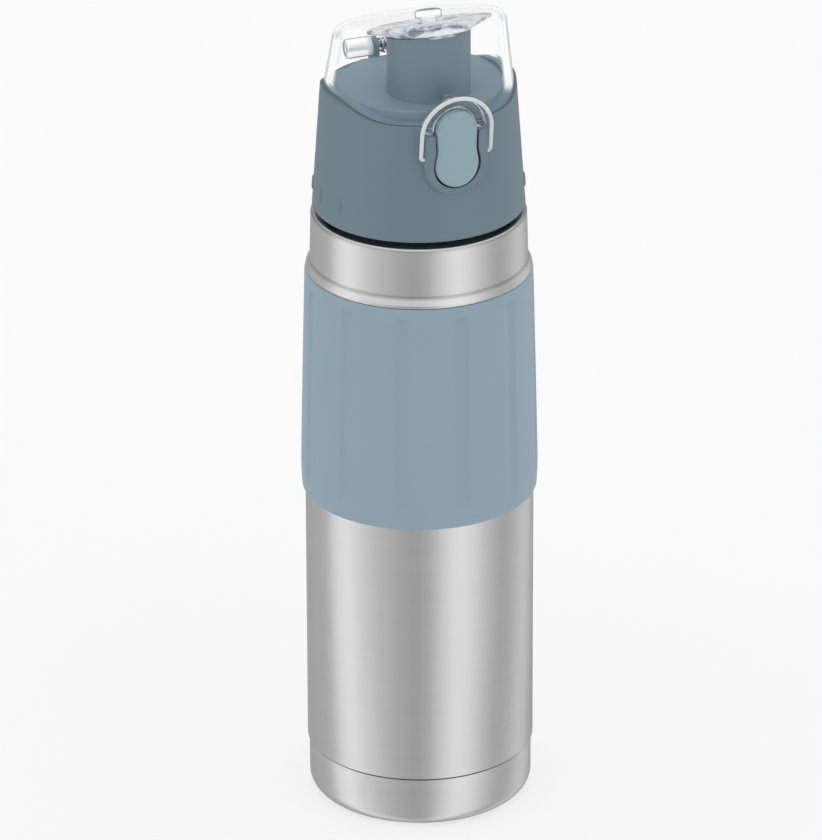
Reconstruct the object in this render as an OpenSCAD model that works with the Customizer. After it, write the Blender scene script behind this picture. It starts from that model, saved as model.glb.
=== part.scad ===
// Insulated steel water bottle with a push-button flip lid.
// It stands on its base with the origin at the centre of the foot. The button faces -Y and the hinge +Y.

/* [Steel body] */
// Outer diameter of the steel body
body_d = 73; // [70:0.5:84]
// Height of the base cup
base_h = 17.6; // [12:0.1:26]
// Rounding of the bottom edge
base_round = 5; // [2.5:0.25:6]
// Height at which the grip starts
grip_z = 106.8; // [80:0.2:130]
// Height of the steel neck above the grip
neck_h = 20.2; // [17:0.2:26]
// Height of the mouth above the neck's shoulder
mouth_h = 20.6; // [17:0.2:21.4]
// Thickness of the outer steel wall
shell_wall = 0.5; // [0.4:0.05:0.8]
// Thickness of the inner steel wall
flask_wall = 0.4; // [0.3:0.05:0.6]
// Vacuum gap between the two walls under the grip
vacuum_gap = 3; // [2:0.25:5]

/* [Grip] */
// Height of the rubber grip
grip_h = 75.6; // [56:0.2:96]
// How far the widest part of the grip stands out from the body
grip_proud = 1.3; // [1:0.1:2.5]
// Radius that the grip loses from its widest part to its top
grip_taper = 1.6; // [0.5:0.1:1.8]
// Number of upright grooves
groove_count = 12; // [6:1:18]
// Width of a groove
groove_w = 5; // [3:0.5:7]
// Depth of a groove
groove_depth = 0.7; // [0.4:0.1:1]

/* [Lid] */
// How far the lid's lower edge lies inside the body's radius
lid_step = 2.85; // [2:0.05:3.4]
// Height of the skirt from its lower edge to its rim
lid_h = 42.6; // [40:0.1:50]
// Draft of the skirt in degrees
lid_draft = 3.95; // [3:0.05:5]
// Thickness of the skirt
lid_wall = 2.2; // [1.8:0.1:2.6]
// How far the rim dips at the front and the rear
rim_dip = 4.5; // [3:0.1:6]
// Height of the deck above the lowest points of the rim
deck_rise = 3.6; // [2.5:0.1:5]

/* [Spout] */
// Outer diameter of the spout
spout_d = 26.2; // [22:0.2:28]
// Wall of the spout
spout_wall = 2; // [1.6:0.1:3]
// Width of the deck in front of the spout
spout_edge = 4.8; // [3:0.1:6]

/* [Cover] */
// Set-in of the cover's foot from the lid's rim
cover_inset = 1.35; // [1:0.05:2]
// Radius that the cover loses from its foot to its roof
cover_taper = 2.9; // [2:0.1:4]
// Wall of the clear cover
cover_wall = 1.2; // [1:0.1:1.6]
// Height of the roof above the rim, on the bottle's axis
cover_rise = 20.3; // [17:0.1:24]
// Slope of the roof, rising to the front, in degrees
roof_slope = 16.5; // [10:0.5:18]
// Rounding of the roof's edge
roof_round = 4; // [3:0.25:5]

/* [Button and lock ring] */
// Width of the button across its upper end
button_w = 13.5; // [11:0.1:14.5]
// Distance between the centres of the button's two round ends
button_span = 11; // [10.5:0.1:13]
// Travel of the button
button_travel = 1.8; // [1.2:0.1:1.8]
// Wire thickness of the lock ring
ring_wire = 1.45; // [1:0.05:1.6]
// Lean of the raised lock ring towards the front, in degrees
ring_lean = 8; // [8:0.5:14]

/* [Hinge] */
// Diameter of the hinge pin
pin_d = 2; // [1.6:0.1:2.4]
// Length across the two knuckles
hinge_span = 27.6; // [24:0.2:29]
// Diameter of a knuckle
knuckle_d = 6.3; // [5.6:0.1:6.6]

/* [Hidden] */

// Colours
steel_colour = [0.74, 0.74, 0.75];
grip_colour = [0.55, 0.63, 0.68];
lid_colour = [0.42, 0.49, 0.53];
clear_colour = [0.86, 0.89, 0.91, 0.35];
seal_colour = [0.84, 0.87, 0.9];
gasket_colour = [0.2, 0.22, 0.24];

// Facets of the round faces and of the blended cover
round_fn = 96;
blend_fn = 36;
blend_edge_fn = 20;
fillet_steps = 6;
// Length by which a cut runs past the faces it opens
past = 1;
// Length by which a form runs into the one it grows from
root = 0.5;
// Reach that takes a cut right across the lid
reach = 60;

// Gaps: a pressed seat, a sliding piece, a piece that swings past another, and a pin in its bore
seat_gap = 0.1;
slide_gap = 0.35;
swing_gap = 0.3;
pin_gap = 0.05;

// Steel body
body_r = body_d / 2;
cup_step = 0.6;
cup_r = body_r - cup_step;
cup_wall = 0.5;
foot_ring_w = 9;
foot_rise = 1.6;
foot_ring_r = cup_r - base_round - foot_ring_w;
seam = 0.2;
tail_r = cup_r - cup_wall - seam;
recess_depth = 1.3;
recess_r = body_r - recess_depth;
bead_step = 0.6;
bead_r = body_r - bead_step;
bead_h = 1;
flare_h = 2.25;
grip_top_z = grip_z + grip_h;
shoulder_z = grip_top_z + neck_h;
lip_z = shoulder_z + mouth_h;
tail_z = base_round - cup_wall;
shoulder_round = 2;
plate_t = 0.8;
plate_rim_h = 5;
port_r = 1.2;
plug_r = 3.6;
plug_t = 0.9;
getter_r = 9;
getter_t = 1.2;
floor_gap = 4.7;
flask_floor_z = tail_z + plate_t + floor_gap;
flask_r = recess_r - shell_wall - vacuum_gap;
flask_round = 9;
flask_shoulder_h = 13;
foil_t = 0.15;
foil_gap = 0.1;
foil_top_z = grip_top_z - 6;

// Grip
grip_wide_r = body_r + grip_proud;
grip_top_r = grip_wide_r - grip_taper;
grip_wide_z = grip_z + 9;
grip_edge = 1.05;
grip_bevel_z = grip_z + 4.4;
grip_bevel = 0.1;
groove_low_z = grip_z + 7;
groove_high_z = grip_top_z - 6;
groove_end = 2.5;
groove_runout = 0.28;

// Lid
lid_r = body_r - lid_step;
neck_ledge = 0.5;
neck_r = lid_r + neck_ledge;
neck_spread = 0.45;
lid_gap = 1.4;
lid_z = shoulder_z + lid_gap;
rim_z = lid_z + lid_h;
rim_r = lid_r_at(rim_z);
rim_front_z = rim_z - rim_dip;
rim_low_angle = 37;
rim_high_angle = 82;
rim_steps = 14;
ledge_t = 2.2;
ledge_w = 4.05;
deck_r = rim_r - ledge_w;
deck_z = rim_front_z + deck_rise;
deck_t = 2.6;
collar_wall = 2;
hinge_notch_half = 20;
hinge_notch_w = 1.8;
rib_angles = [70, 90, 110];
rib_h = 5.3;
rib_r = 1;
rib_proud = 0.7;
rib_z = lid_z + 7.2;

// Mouth, thread collar and plug
mouth_step = 7.9;
mouth_r = lid_r - mouth_step;
lip_gap = 0.8;
bore_r = mouth_r - shell_wall - lip_gap - flask_wall;
thread_gap = 0.3;
thread_r = mouth_r + thread_gap;
thread_wall = 2.3;
thread_low_z = lid_z + 0.6;
core_floor_z = lip_z + 0.4;
core_floor_t = 2.5;
core_top_z = core_floor_z + core_floor_t;
core_edge_gap = 0.15;
plug_gap = 0.7;
plug_ring_r = bore_r - plug_gap;
plug_ring_wall = 2;
plug_ring_h = 11;
gasket_z = core_floor_z - 6.5;
gasket_h = 4;
gasket_groove = 0.9;

// Spout
spout_r = spout_d / 2;
spout_offset = deck_r - spout_edge - spout_r;
spout_foot_r = spout_r + 2;
spout_foot_t = 1.5;
spout_bore_r = spout_r - spout_wall;
seal_t = 1.3;
seal_pad_t = 2.1;
spout_drop = (cover_wall + seal_t + seal_pad_t + swing_gap) / cos(roof_slope);
o_ring_r = 0.8;

// Cover
roof_z = rim_z + cover_rise;
cover_foot_z = rim_front_z - past;
foot_spread = 0.6;
cover_foot_r = lid_r_at(cover_foot_z) - cover_inset + foot_spread;
roof_r = cover_foot_r - cover_taper;
seal_set_in = 0.5;
seal_half_w = spout_r - seal_set_in;
seal_margin = 0.55;
seal_reach = roof_r - roof_round - seal_margin;
seal_shift = spout_offset / cos(roof_slope);
seal_half_l = sqrt(seal_reach * seal_reach - seal_shift * seal_shift);
seal_arc_r = (seal_half_l * seal_half_l + seal_half_w * seal_half_w) / (2 * seal_half_w);
seal_pad_r = seal_half_w - 0.3;
seal_plug_gap = 0.4;
seal_plug_r = spout_bore_r - seal_plug_gap;
seal_plug_h = 1;
stem_r = 2.5;
head_r = 4.2;
head_h = 2.6;

// Button, tab and lock ring, all drawn about the same two centres
arc_top_z = rim_front_z - 1.8;
arc_low_z = arc_top_z - button_span;
button_r = button_w / 2;
button_flare = 0.55;
button_waist = 0.25;
tab_wall = 3.2;
tab_in_r = button_r + slide_gap;
tab_out_r = tab_in_r + tab_wall;
boss_margin = 0.25;
boss_r = tab_out_r + boss_margin;
boss_step = 0.8;
boss_y = boss_step - lid_r;
boss_wall = 2.1;
boss_depth = 6;
button_proud = 1;
button_y = boss_y - button_proud;
button_crown_r = 30;
button_t = 2.8;
button_back_y = button_y + button_t;
button_end_y = button_back_y + button_travel + slide_gap;
button_neck = 0.4;
flange_w = 1.6;
flange_r = button_r + flange_w;
flange_y = boss_y + boss_wall + slide_gap;
flange_t = 1;
flange_back_y = flange_y + flange_t;
flange_low_z = arc_low_z + 0.6;
flange_top_z = rim_front_z - ledge_t - 0.8;
spring_z = (flange_low_z + flange_top_z) / 2;
stem_pin_r = 1.5;
stem_pin_l = 2.6;
spring_seat_t = 1.4;
spring_seat_y = -(spout_offset + spout_r + spring_seat_t);
spring_seat_r = 4;
tab_step = 1.2;
tab_y = boss_y + tab_step;
tab_foot_t = 3;
tab_foot_z = arc_top_z - 0.3;
hook_w = 5;
hook_t = 1.2;
hook_low_z = rim_front_z + 2;
hook_arm_h = 1.5;
hook_nose_h = 1.2;
catch_h = 1;
catch_reach = 0.8;
catch_rise = 0.8;
catch_z = arc_top_z + tab_in_r + catch_rise;
catch_y = catch_reach + cover_wall - cover_front_r(catch_z);
hook_nose = 0.2;
hook_gap = 0.15;
hook_y = catch_y + hook_gap + hook_nose;
hook_nose_z = catch_z + catch_h + swing_gap;
hook_top_z = hook_nose_z + hook_nose_h;
hook_slot_w = hook_w + 2 * slide_gap;
ring_r = boss_r + swing_gap + ring_wire / 2;
ring_pivot_depth = 1.6;
ring_y = boss_y + ring_pivot_depth;
ring_rise = 8.3;
ring_z = arc_top_z - ring_rise;
ring_bend = 0.9;
ring_stub = 1.6;
ring_hole_low = boss_r - 2.5;
ring_hole_high = boss_r + 0.5;

// Hinge
hinge_out = 0.5;
hinge_y = deck_r + hinge_out;
hinge_rise = 1.8;
hinge_z = deck_z + hinge_rise;
hinge_half = hinge_span / 2;
pin_r = pin_d / 2;
pin_half = hinge_half - 0.3;
knuckle_r = knuckle_d / 2;
ear_in = 3.4;
ear_w = 2;
ear_step = 0.15;
ear_r = knuckle_r - ear_step;
ear_gap = 0.2;
ear_back = 0.4;
lug_gap = 0.4;
knuckle_in = ear_in + ear_w + ear_gap;
lug_slot_r = 5.4;

// Springs
coil_turns = 4;
coil_wire = 0.7;
coil_play = 0.5;
coil_r = pin_r + coil_wire / 2 + coil_play;
coil_leg = 5;
coil_half = ear_in - swing_gap - coil_wire / 2;
coil_first_angle = -105;
coil_last_angle = 60;
push_turns = 4;
push_wire = 0.5;
push_coil_r = 2.6;
rings_per_curl = 8;
tube_sides = 6;

// Radius of the skirt at a height
function lid_r_at(z) = lid_r - (z - lid_z) * tan(lid_draft);

// Distance of the cover's front wall from the bottle's axis at a height
function cover_front_r(z) =
    let (top_r = (roof_r - roof_round) * cos(roof_slope) + roof_round * (1 + sin(roof_slope)))
    let (top_z = roof_z + (roof_r - roof_round) * sin(roof_slope) - roof_round * cos(roof_slope))
    cover_foot_r - (cover_foot_r - top_r) * (z - cover_foot_z) / (top_z - cover_foot_z);

// Height of the lid's rim at a distance along Y, low at the front and the rear
function rim_height(y) =
    let (low = rim_r * cos(rim_low_angle), high = rim_r * cos(rim_high_angle))
    let (share = max(0, min(1, (low - abs(y)) / (low - high))))
    rim_z - rim_dip * (1 + cos(180 * share)) / 2;

// Arc that rounds one corner of an outline
function fillet(before, corner, after, r) =
    let (u = (before - corner) / norm(before - corner), w = (after - corner) / norm(after - corner))
    let (half = acos(u * w) / 2, mid = (u + w) / norm(u + w))
    let (centre = corner + mid * r / sin(half), first = corner + u * r / tan(half) - centre)
    let (turn = (180 - 2 * half) * sign(u.x * w.y - u.y * w.x))
    [for (i = [0 : fillet_steps]) let (a = -turn * i / fillet_steps)
        centre + [first.x * cos(a) - first.y * sin(a), first.x * sin(a) + first.y * cos(a)]];

// Outline from [radius, height, rounding] points
function rounded(points) =
    let (n = len(points), flat = [for (p = points) [p.x, p.y]])
    [for (i = [0 : n - 1]) each points[i][2] > 0
        ? fillet(flat[(i + n - 1) % n], flat[i], flat[(i + 1) % n], points[i][2])
        : [flat[i]]];

// Outer line of the steel shell, or its inner line when in is the wall
function shell_line(in) = [
    [tail_r - in, tail_z, 0],
    [tail_r - in, base_h + in, 0.2],
    [body_r - in, base_h + seam + in, 0.2],
    [body_r - in, grip_z - in, 0.3],
    [recess_r - in, grip_z - in, 0.2],
    [recess_r - in, grip_top_z + in, 0.2],
    [bead_r - in, grip_top_z + in, 0.5],
    [bead_r - in, grip_top_z + bead_h, 0.6],
    [neck_r + neck_spread - in, grip_top_z + bead_h + flare_h, 0.3],
    [neck_r - in, shoulder_z - in, shoulder_round - in],
    [mouth_r - in, shoulder_z - in, 0.4],
    [mouth_r - in, lip_z - shell_wall, 0]
];

// Line of the flask, on its outside when out is the wall
function flask_line(out) = [
    [0, flask_floor_z - out, 0],
    [flask_r - flask_wall + out, flask_floor_z - out, flask_round],
    [flask_r - flask_wall + out, grip_top_z, 4],
    [bore_r + out, grip_top_z + flask_shoulder_h, 4],
    [bore_r + out, lip_z - (out > 0 ? shell_wall : 0), 0]
];

function reversed(list) = [for (i = [len(list) - 1 : -1 : 0]) list[i]];

// Points of a coil about Z, from height 0 up, with a turn count that may be uneven
function coil(r, height, turns, start) =
    let (count = ceil(turns * rings_per_curl))
    [for (i = [0 : count]) let (a = start + 360 * turns * i / count)
        [r * cos(a), r * sin(a), height * i / count]];

// Least clear space between a coil's curls, measured between its points
function least_gap(path, wire) = min([
    for (i = [0 : len(path) - 1], j = [i + rings_per_curl - 2 : len(path) - 1])
        if (j < len(path)) norm(path[i] - path[j])
]) - wire;

// Direction of travel at each point of a path
function headings(path) = [for (i = [0 : len(path) - 1])
    let (d = path[min(i + 1, len(path) - 1)] - path[max(i - 1, 0)]) d / norm(d)];

// One unbroken tube along a path that keeps across its axis
module tube(path, r, axis) {
    count = len(path);
    way = headings(path);
    points = [for (i = [0 : count - 1])
        let (side = cross(way[i], axis) / norm(cross(way[i], axis)), up = cross(side, way[i]))
        for (k = [0 : tube_sides - 1])
            path[i] + r * (side * cos(360 * k / tube_sides) + up * sin(360 * k / tube_sides))];
    walls = [for (i = [0 : count - 2], k = [0 : tube_sides - 1])
        let (a = i * tube_sides + k, b = i * tube_sides + (k + 1) % tube_sides)
        each [[a, a + tube_sides, b], [b, a + tube_sides, b + tube_sides]]];
    last = (count - 1) * tube_sides;
    caps = [for (k = [1 : tube_sides - 2])
        each [[0, k, k + 1], [last, last + k + 1, last + k]]];
    polyhedron(points, concat(walls, caps));
}

// Solid of revolution from an outline of [radius, height, rounding] points
module turned(points) {
    rotate_extrude($fn = round_fn) polygon(rounded(points));
}

module ring(r_out, r_in, low, high) {
    translate([0, 0, low]) difference() {
        cylinder(r = r_out, h = high - low, $fn = round_fn);
        translate([0, 0, -past]) cylinder(r = r_in, h = high - low + 2 * past, $fn = round_fn);
    }
}

// Flat outline in X and Z, drawn out along Y
module along_y(from, to) {
    translate([0, to, 0]) rotate([90, 0, 0]) linear_extrude(to - from) children();
}

// Cylinder along X at the hinge or the lock ring's pivot
module along_x(r, from, to, y, z) {
    translate([from, y, z]) rotate([0, 90, 0]) cylinder(r = r, h = to - from, $fn = round_fn / 2);
}

// Everything above the lid's dipped rim, raised by lift
module above_rim(lift) {
    sweep = rim_high_angle - rim_low_angle;
    top = roof_z + reach;
    front = [for (i = [0 : rim_steps])
        let (y = -rim_r * cos(rim_low_angle + sweep * i / rim_steps))
        [y, rim_height(y) + lift]];
    rear = [for (p = reversed(front)) [-p.x, p.y]];
    rotate([90, 0, 90]) translate([0, 0, -reach]) linear_extrude(2 * reach) polygon(concat(
        [[-reach, rim_front_z + lift]], front, rear,
        [[reach, rim_front_z + lift], [reach, top], [-reach, top]]
    ));
}

// Half space above the roof's plane, lowered by drop along Z
module above_roof(drop) {
    translate([0, 0, roof_z - drop]) rotate([-roof_slope, 0, 0])
        translate([-reach, -reach, 0]) cube(2 * reach);
}

// Place over the spout's axis, tilted with the roof and a depth under its outer face
module on_roof(depth) {
    translate([0, -spout_offset, roof_z + spout_offset * tan(roof_slope) - depth / cos(roof_slope)])
        rotate([-roof_slope, 0, 0]) children();
}

// Upright pill about the two centres of the button
module pill(low_r, top_r, waist) {
    middle = (arc_low_z + arc_top_z) / 2;
    translate([0, arc_low_z]) circle(r = low_r, $fn = round_fn);
    translate([0, arc_top_z]) circle(r = top_r, $fn = round_fn);
    polygon([
        [-low_r, arc_low_z], [low_r, arc_low_z], [top_r - waist, middle],
        [top_r, arc_top_z], [-top_r, arc_top_z], [waist - top_r, middle]
    ]);
}

module button_outline(grow) {
    pill(button_r + button_flare + grow, button_r + grow, button_waist);
}

// Plate behind the button that keeps it in the boss
module flange_outline(grow) {
    translate([-flange_r - grow, flange_low_z - grow])
        square([2 * (flange_r + grow), flange_top_z - flange_low_z + 2 * grow]);
}

// Smooth blank of the cover, set in all over
module cover_blank(in) {
    edge = roof_round - in;
    hull() {
        translate([0, 0, cover_foot_z]) cylinder(r = cover_foot_r - in, h = past / 10, $fn = blend_fn);
        translate([0, 0, roof_z]) rotate([-roof_slope, 0, 0]) translate([0, 0, -in - edge])
            rotate_extrude($fn = blend_fn) translate([roof_r - in - edge, 0])
                circle(r = edge, $fn = blend_edge_fn);
    }
}

module base_cup() {
    color(steel_colour) turned([
        [0, foot_rise, 0],
        [foot_ring_r - foot_rise, foot_rise, 1],
        [foot_ring_r, 0, 1],
        [cup_r, 0, base_round],
        [cup_r, base_h - 0.1, 0.2],
        [cup_r - cup_wall, base_h - 0.1, 0],
        [cup_r - cup_wall, cup_wall, base_round - cup_wall],
        [foot_ring_r + seam, cup_wall, 0.6],
        [foot_ring_r - foot_rise + seam, foot_rise + cup_wall, 0.6],
        [0, foot_rise + cup_wall, 0]
    ]);
}

module outer_shell() {
    color(steel_colour) turned(concat(shell_line(0), reversed(shell_line(shell_wall))));
}

module bottom_plate() {
    r = tail_r - shell_wall - seat_gap / 2;
    color(steel_colour) difference() {
        turned([
            [0, tail_z, 0], [r, tail_z, 0.8], [r, tail_z + plate_rim_h, 0],
            [r - plate_t, tail_z + plate_rim_h, 0], [r - plate_t, tail_z + plate_t, 0.4],
            [0, tail_z + plate_t, 0]
        ]);
        translate([0, 0, tail_z - past]) cylinder(r = port_r, h = plate_t + 2 * past, $fn = round_fn / 2);
    }
}

// Pellet under the pump-out hole
module vacuum_plug() {
    low = tail_z - plug_t + seam;
    high = tail_z + plate_t - seam;
    r = port_r - seat_gap;
    color(gasket_colour) turned([
        [0, low, 0], [plug_r, low, 0.4], [plug_r, tail_z, 0], [r, tail_z, 0], [r, high, 0], [0, high, 0]
    ]);
}

module getter() {
    color(gasket_colour) ring(getter_r, getter_r / 2, tail_z + plate_t, tail_z + plate_t + getter_t);
}

module radiation_foil() {
    r = flask_r + foil_gap;
    color(steel_colour) ring(r + foil_t, r, flask_floor_z + flask_round, foil_top_z);
}

module inner_flask() {
    lip = [[mouth_r, lip_z - shell_wall, 0], [mouth_r, lip_z, 0.2]];
    color(steel_colour) turned(concat(flask_line(flask_wall), lip, reversed(flask_line(0))));
}

// Round-bottomed cutter for one groove, which runs out at both ends
module groove(r_low, r_top, low, high) {
    r = (groove_w * groove_w / 4 + groove_depth * groove_depth) / (2 * groove_depth);
    lean = atan((r_low - r_top) / (high - low));
    length = (high - low) / cos(lean);
    end_r = r - groove_depth - groove_runout;
    end = groove_end;
    translate([r_low - groove_depth + r, 0, low]) rotate([0, -lean, 0])
        rotate_extrude($fn = round_fn / 2) polygon([
            [0, -end], [end_r, -end], [r, 0], [r, length], [end_r, length + end], [0, length + end]
        ]);
}

module grip_sleeve() {
    color(grip_colour) difference() {
        turned([
            [recess_r + seat_gap, grip_z + seat_gap, 0],
            [body_r + grip_edge, grip_z + seat_gap, 0.4],
            [grip_wide_r - grip_bevel, grip_bevel_z, 3],
            [grip_wide_r, grip_wide_z, 6],
            [grip_top_r, grip_top_z - seat_gap, 0.5],
            [recess_r + seat_gap, grip_top_z - seat_gap, 0]
        ]);
        for (i = [0 : groove_count - 1])
            rotate([0, 0, 360 * i / groove_count - 90])
                groove(grip_wide_r, grip_top_r, groove_low_z, groove_high_z);
    }
}

module lid_gasket() {
    low = gasket_z;
    in = plug_ring_r - gasket_groove + seat_gap;
    out = bore_r - seat_gap;
    color(gasket_colour) turned([
        [in, low + seat_gap, 0.3], [out - 0.4, low + seat_gap, 0.3], [out, low + gasket_h / 3, 0.4],
        [out - 0.5, low + gasket_h / 2, 0.3], [out, low + 2 * gasket_h / 3, 0.4],
        [out - 0.4, low + gasket_h - seat_gap, 0.3], [in, low + gasket_h - seat_gap, 0.3]
    ]);
}

// Thread collar, floor and plug in one moulding
module lid_core() {
    flange_out = lid_r_at(core_top_z) - lid_wall - core_edge_gap;
    color(lid_colour) difference() {
        union() {
            ring(thread_r + thread_wall, thread_r, thread_low_z, core_floor_z + past);
            translate([0, 0, core_floor_z]) cylinder(r = flange_out, h = core_floor_t, $fn = round_fn);
            difference() {
                ring(
                    plug_ring_r, plug_ring_r - plug_ring_wall,
                    core_floor_z - plug_ring_h, core_floor_z + past
                );
                ring(plug_ring_r + past, plug_ring_r - gasket_groove, gasket_z, gasket_z + gasket_h);
            }
        }
        translate([0, -spout_offset, core_floor_z - past])
            cylinder(r = spout_bore_r, h = core_floor_t + 2 * past, $fn = round_fn);
        translate([-flange_r - past, -reach, core_floor_z - past])
            cube([2 * (flange_r + past), reach + button_end_y, core_floor_t + 2 * past]);
    }
}

// Spout with its foot on the core's floor, its sloping mouth and the pad that backs the button's spring
module spout() {
    color(lid_colour) difference() {
        union() {
            difference() {
                translate([0, -spout_offset, core_top_z]) cylinder(r = spout_r, h = reach, $fn = round_fn);
                above_roof(spout_drop);
            }
            translate([0, -spout_offset, core_top_z])
                cylinder(r = spout_foot_r, h = spout_foot_t, $fn = round_fn);
            translate([0, spring_seat_y, spring_z]) rotate([-90, 0, 0])
                cylinder(r = spring_seat_r, h = spout_wall, $fn = round_fn / 2);
        }
        translate([0, -spout_offset, core_top_z - past])
            cylinder(r = spout_bore_r, h = roof_z, $fn = round_fn);
    }
}

module spout_o_ring() {
    color(gasket_colour) translate([0, -spout_offset, deck_z - deck_t - o_ring_r - seat_gap])
        rotate_extrude($fn = round_fn) translate([spout_r + o_ring_r + seat_gap / 2, 0])
            circle(r = o_ring_r, $fn = round_fn / 4);
}

// Upright ribs on both sides, for the fingers that unscrew the lid
module side_ribs() {
    for (side = [-1, 1], angle = rib_angles)
        rotate([0, 0, -90 + side * angle])
            translate([lid_r_at(rib_z) + rib_proud - rib_r, 0, rib_z]) rotate([0, -lid_draft, 0])
                cylinder(r = rib_r, h = rib_h, center = true, $fn = round_fn / 4);
}

// Two ears that carry the hinge pin
module ears() {
    for (side = [-1, 1]) {
        low = side > 0 ? ear_in : -ear_in - ear_w;
        along_x(ear_r, low, low + ear_w, hinge_y, hinge_z);
        translate([low, hinge_y - ear_r, rim_front_z - ledge_t])
            cube([ear_w, 2 * ear_r - ear_back, hinge_z - rim_front_z + ledge_t]);
    }
}

// Raised deck, cut back at the rear so that the cover's wall can swing past it
module deck() {
    difference() {
        turned([
            [0, rim_front_z - ledge_t, 0], [deck_r, rim_front_z - ledge_t, 0],
            [deck_r, deck_z, 0.8], [0, deck_z, 0]
        ]);
        difference() {
            translate([-hinge_notch_half, 0, rim_front_z]) cube([2 * hinge_notch_half, reach, reach]);
            cylinder(r = deck_r - hinge_notch_w, h = roof_z + 2 * reach, $fn = round_fn);
        }
    }
}

// Lower ends of the latch tab, which stand in a notch in the boss
module tab_feet(grow, ahead) {
    along_y(tab_y - ahead, tab_y + tab_foot_t + grow) intersection() {
        translate([0, arc_top_z]) circle(r = tab_out_r + grow, $fn = round_fn);
        translate([-reach, tab_foot_z - grow]) square(2 * reach);
    }
}

module lid_shell() {
    color(lid_colour) difference() {
        union() {
            difference() {
                union() {
                    turned([
                        [0, lid_z, 0], [lid_r, lid_z, 0.6], [lid_r_at(rim_z), rim_z, 0.6], [0, rim_z, 0]
                    ]);
                    along_y(boss_y, boss_y + boss_depth) pill(boss_r, boss_r, 0);
                    side_ribs();
                }
                above_rim(0);
                translate([0, 0, deck_z]) cylinder(r = deck_r, h = reach, $fn = round_fn);
            }
            deck();
            ears();
        }
        difference() {
            turned([
                [0, lid_z - past, 0], [lid_r_at(lid_z - past) - lid_wall, lid_z - past, 0],
                [lid_r_at(rim_z) - lid_wall, rim_z, 0], [0, rim_z, 0]
            ]);
            above_rim(-ledge_t);
            translate([0, 0, deck_z - deck_t]) cylinder(r = deck_r, h = reach, $fn = round_fn);
        }
        translate([0, 0, lid_z])
            cylinder(r = deck_r - collar_wall, h = deck_z - deck_t - lid_z, $fn = round_fn);
        translate([0, -spout_offset, lid_z])
            cylinder(r = spout_r + seat_gap, h = reach + lid_h, $fn = round_fn);
        along_y(-reach, button_end_y) button_outline(slide_gap);
        along_y(boss_y + boss_wall, boss_y + boss_depth + past) flange_outline(slide_gap);
        translate([-hook_slot_w / 2, -deck_r - past, hook_low_z - slide_gap])
            cube([hook_slot_w, deck_r - spout_offset - spout_r, reach]);
        for (side = [0, 1]) mirror([side, 0, 0])
            along_x(ring_wire / 2 + pin_gap, ring_hole_low, ring_hole_high, ring_y, ring_z);
        along_x(pin_r + pin_gap / 2, -hinge_half, hinge_half, hinge_y, hinge_z);
        tab_feet(swing_gap, reach);
    }
}

// Button with its flange, spring stem and the hook that holds the cover
module push_button() {
    color(grip_colour) {
        intersection() {
            along_y(button_y, button_back_y) button_outline(0);
            translate([0, button_y + button_crown_r, 0])
                cylinder(r = button_crown_r, h = roof_z, $fn = 2 * round_fn);
        }
        along_y(button_back_y - root, flange_back_y) intersection() {
            button_outline(-button_neck);
            flange_outline(0);
        }
        along_y(flange_y, flange_back_y) flange_outline(0);
        along_y(flange_back_y - root, flange_back_y + stem_pin_l) translate([0, spring_z])
            circle(r = stem_pin_r, $fn = round_fn / 2);
        translate([-hook_w / 2, button_back_y - root, hook_low_z])
            cube([hook_w, hook_y - button_back_y + 2 * root, hook_arm_h]);
        translate([-hook_w / 2, hook_y, hook_low_z]) cube([hook_w, hook_t, hook_top_z - hook_low_z]);
        translate([-hook_w / 2, hook_y - hook_nose, hook_nose_z])
            cube([hook_w, hook_nose + hook_t, hook_nose_h]);
    }
}

button_spring_path =
    let (room = spring_seat_y - flange_back_y - push_wire - 2 * seat_gap)
    [for (p = coil(push_coil_r, room, push_turns, 0))
        [p.x, flange_back_y + push_wire / 2 + seat_gap + p.z, spring_z + p.y]];

module button_spring() {
    color(steel_colour) tube(button_spring_path, push_wire / 2, [0, 1, 0]);
}

// Bail of round wire, drawn upright about its pivot and then leant forward
module lock_ring() {
    wire_r = ring_wire / 2;
    color(clear_colour) translate([0, ring_y, ring_z]) rotate([ring_lean, 0, 0]) {
        translate([0, 0, ring_rise]) rotate([90, 0, 0]) rotate_extrude(angle = 180, $fn = round_fn)
            translate([ring_r, 0]) circle(r = wire_r, $fn = round_fn / 3);
        for (side = [0, 1]) mirror([side, 0, 0]) {
            translate([ring_r, 0, ring_bend])
                cylinder(r = wire_r, h = ring_rise - ring_bend, $fn = round_fn / 3);
            translate([ring_r - ring_bend, 0, ring_bend]) rotate([90, 0, 0]) rotate([0, 0, -90])
                rotate_extrude(angle = 90, $fn = round_fn)
                    translate([ring_bend, 0]) circle(r = wire_r, $fn = round_fn / 3);
            along_x(wire_r, boss_r - ring_stub, ring_r - ring_bend, 0, 0);
        }
    }
}

module hinge_pin() {
    color(steel_colour) along_x(pin_r, -pin_half, pin_half, hinge_y, hinge_z);
}

cover_spring_path = let (
        turns = coil_turns + (coil_last_angle - coil_first_angle) / 360,
        curls = coil(coil_r, 2 * coil_half, turns, coil_first_angle),
        first_way = [-sin(coil_first_angle), cos(coil_first_angle), 0],
        last_way = [-sin(coil_last_angle), cos(coil_last_angle), 0])
    let (foot = curls[0] - coil_leg * first_way, tip = curls[len(curls) - 1] + coil_leg * last_way)
    [for (p = concat([foot], curls, [tip])) [p.z - coil_half, hinge_y + p.x, hinge_z + p.y]];

// Torsion spring on the pin, with one leg on the deck and one against the cover
module cover_spring() {
    color(steel_colour) tube(cover_spring_path, coil_wire / 2, [1, 0, 0]);
}

// Hole for the seal's stem, square to the roof
module stem_hole() {
    on_roof(0) translate([0, 0, -reach / 4])
        cylinder(r = stem_r + pin_gap, h = reach / 2, $fn = round_fn / 2);
}

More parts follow.
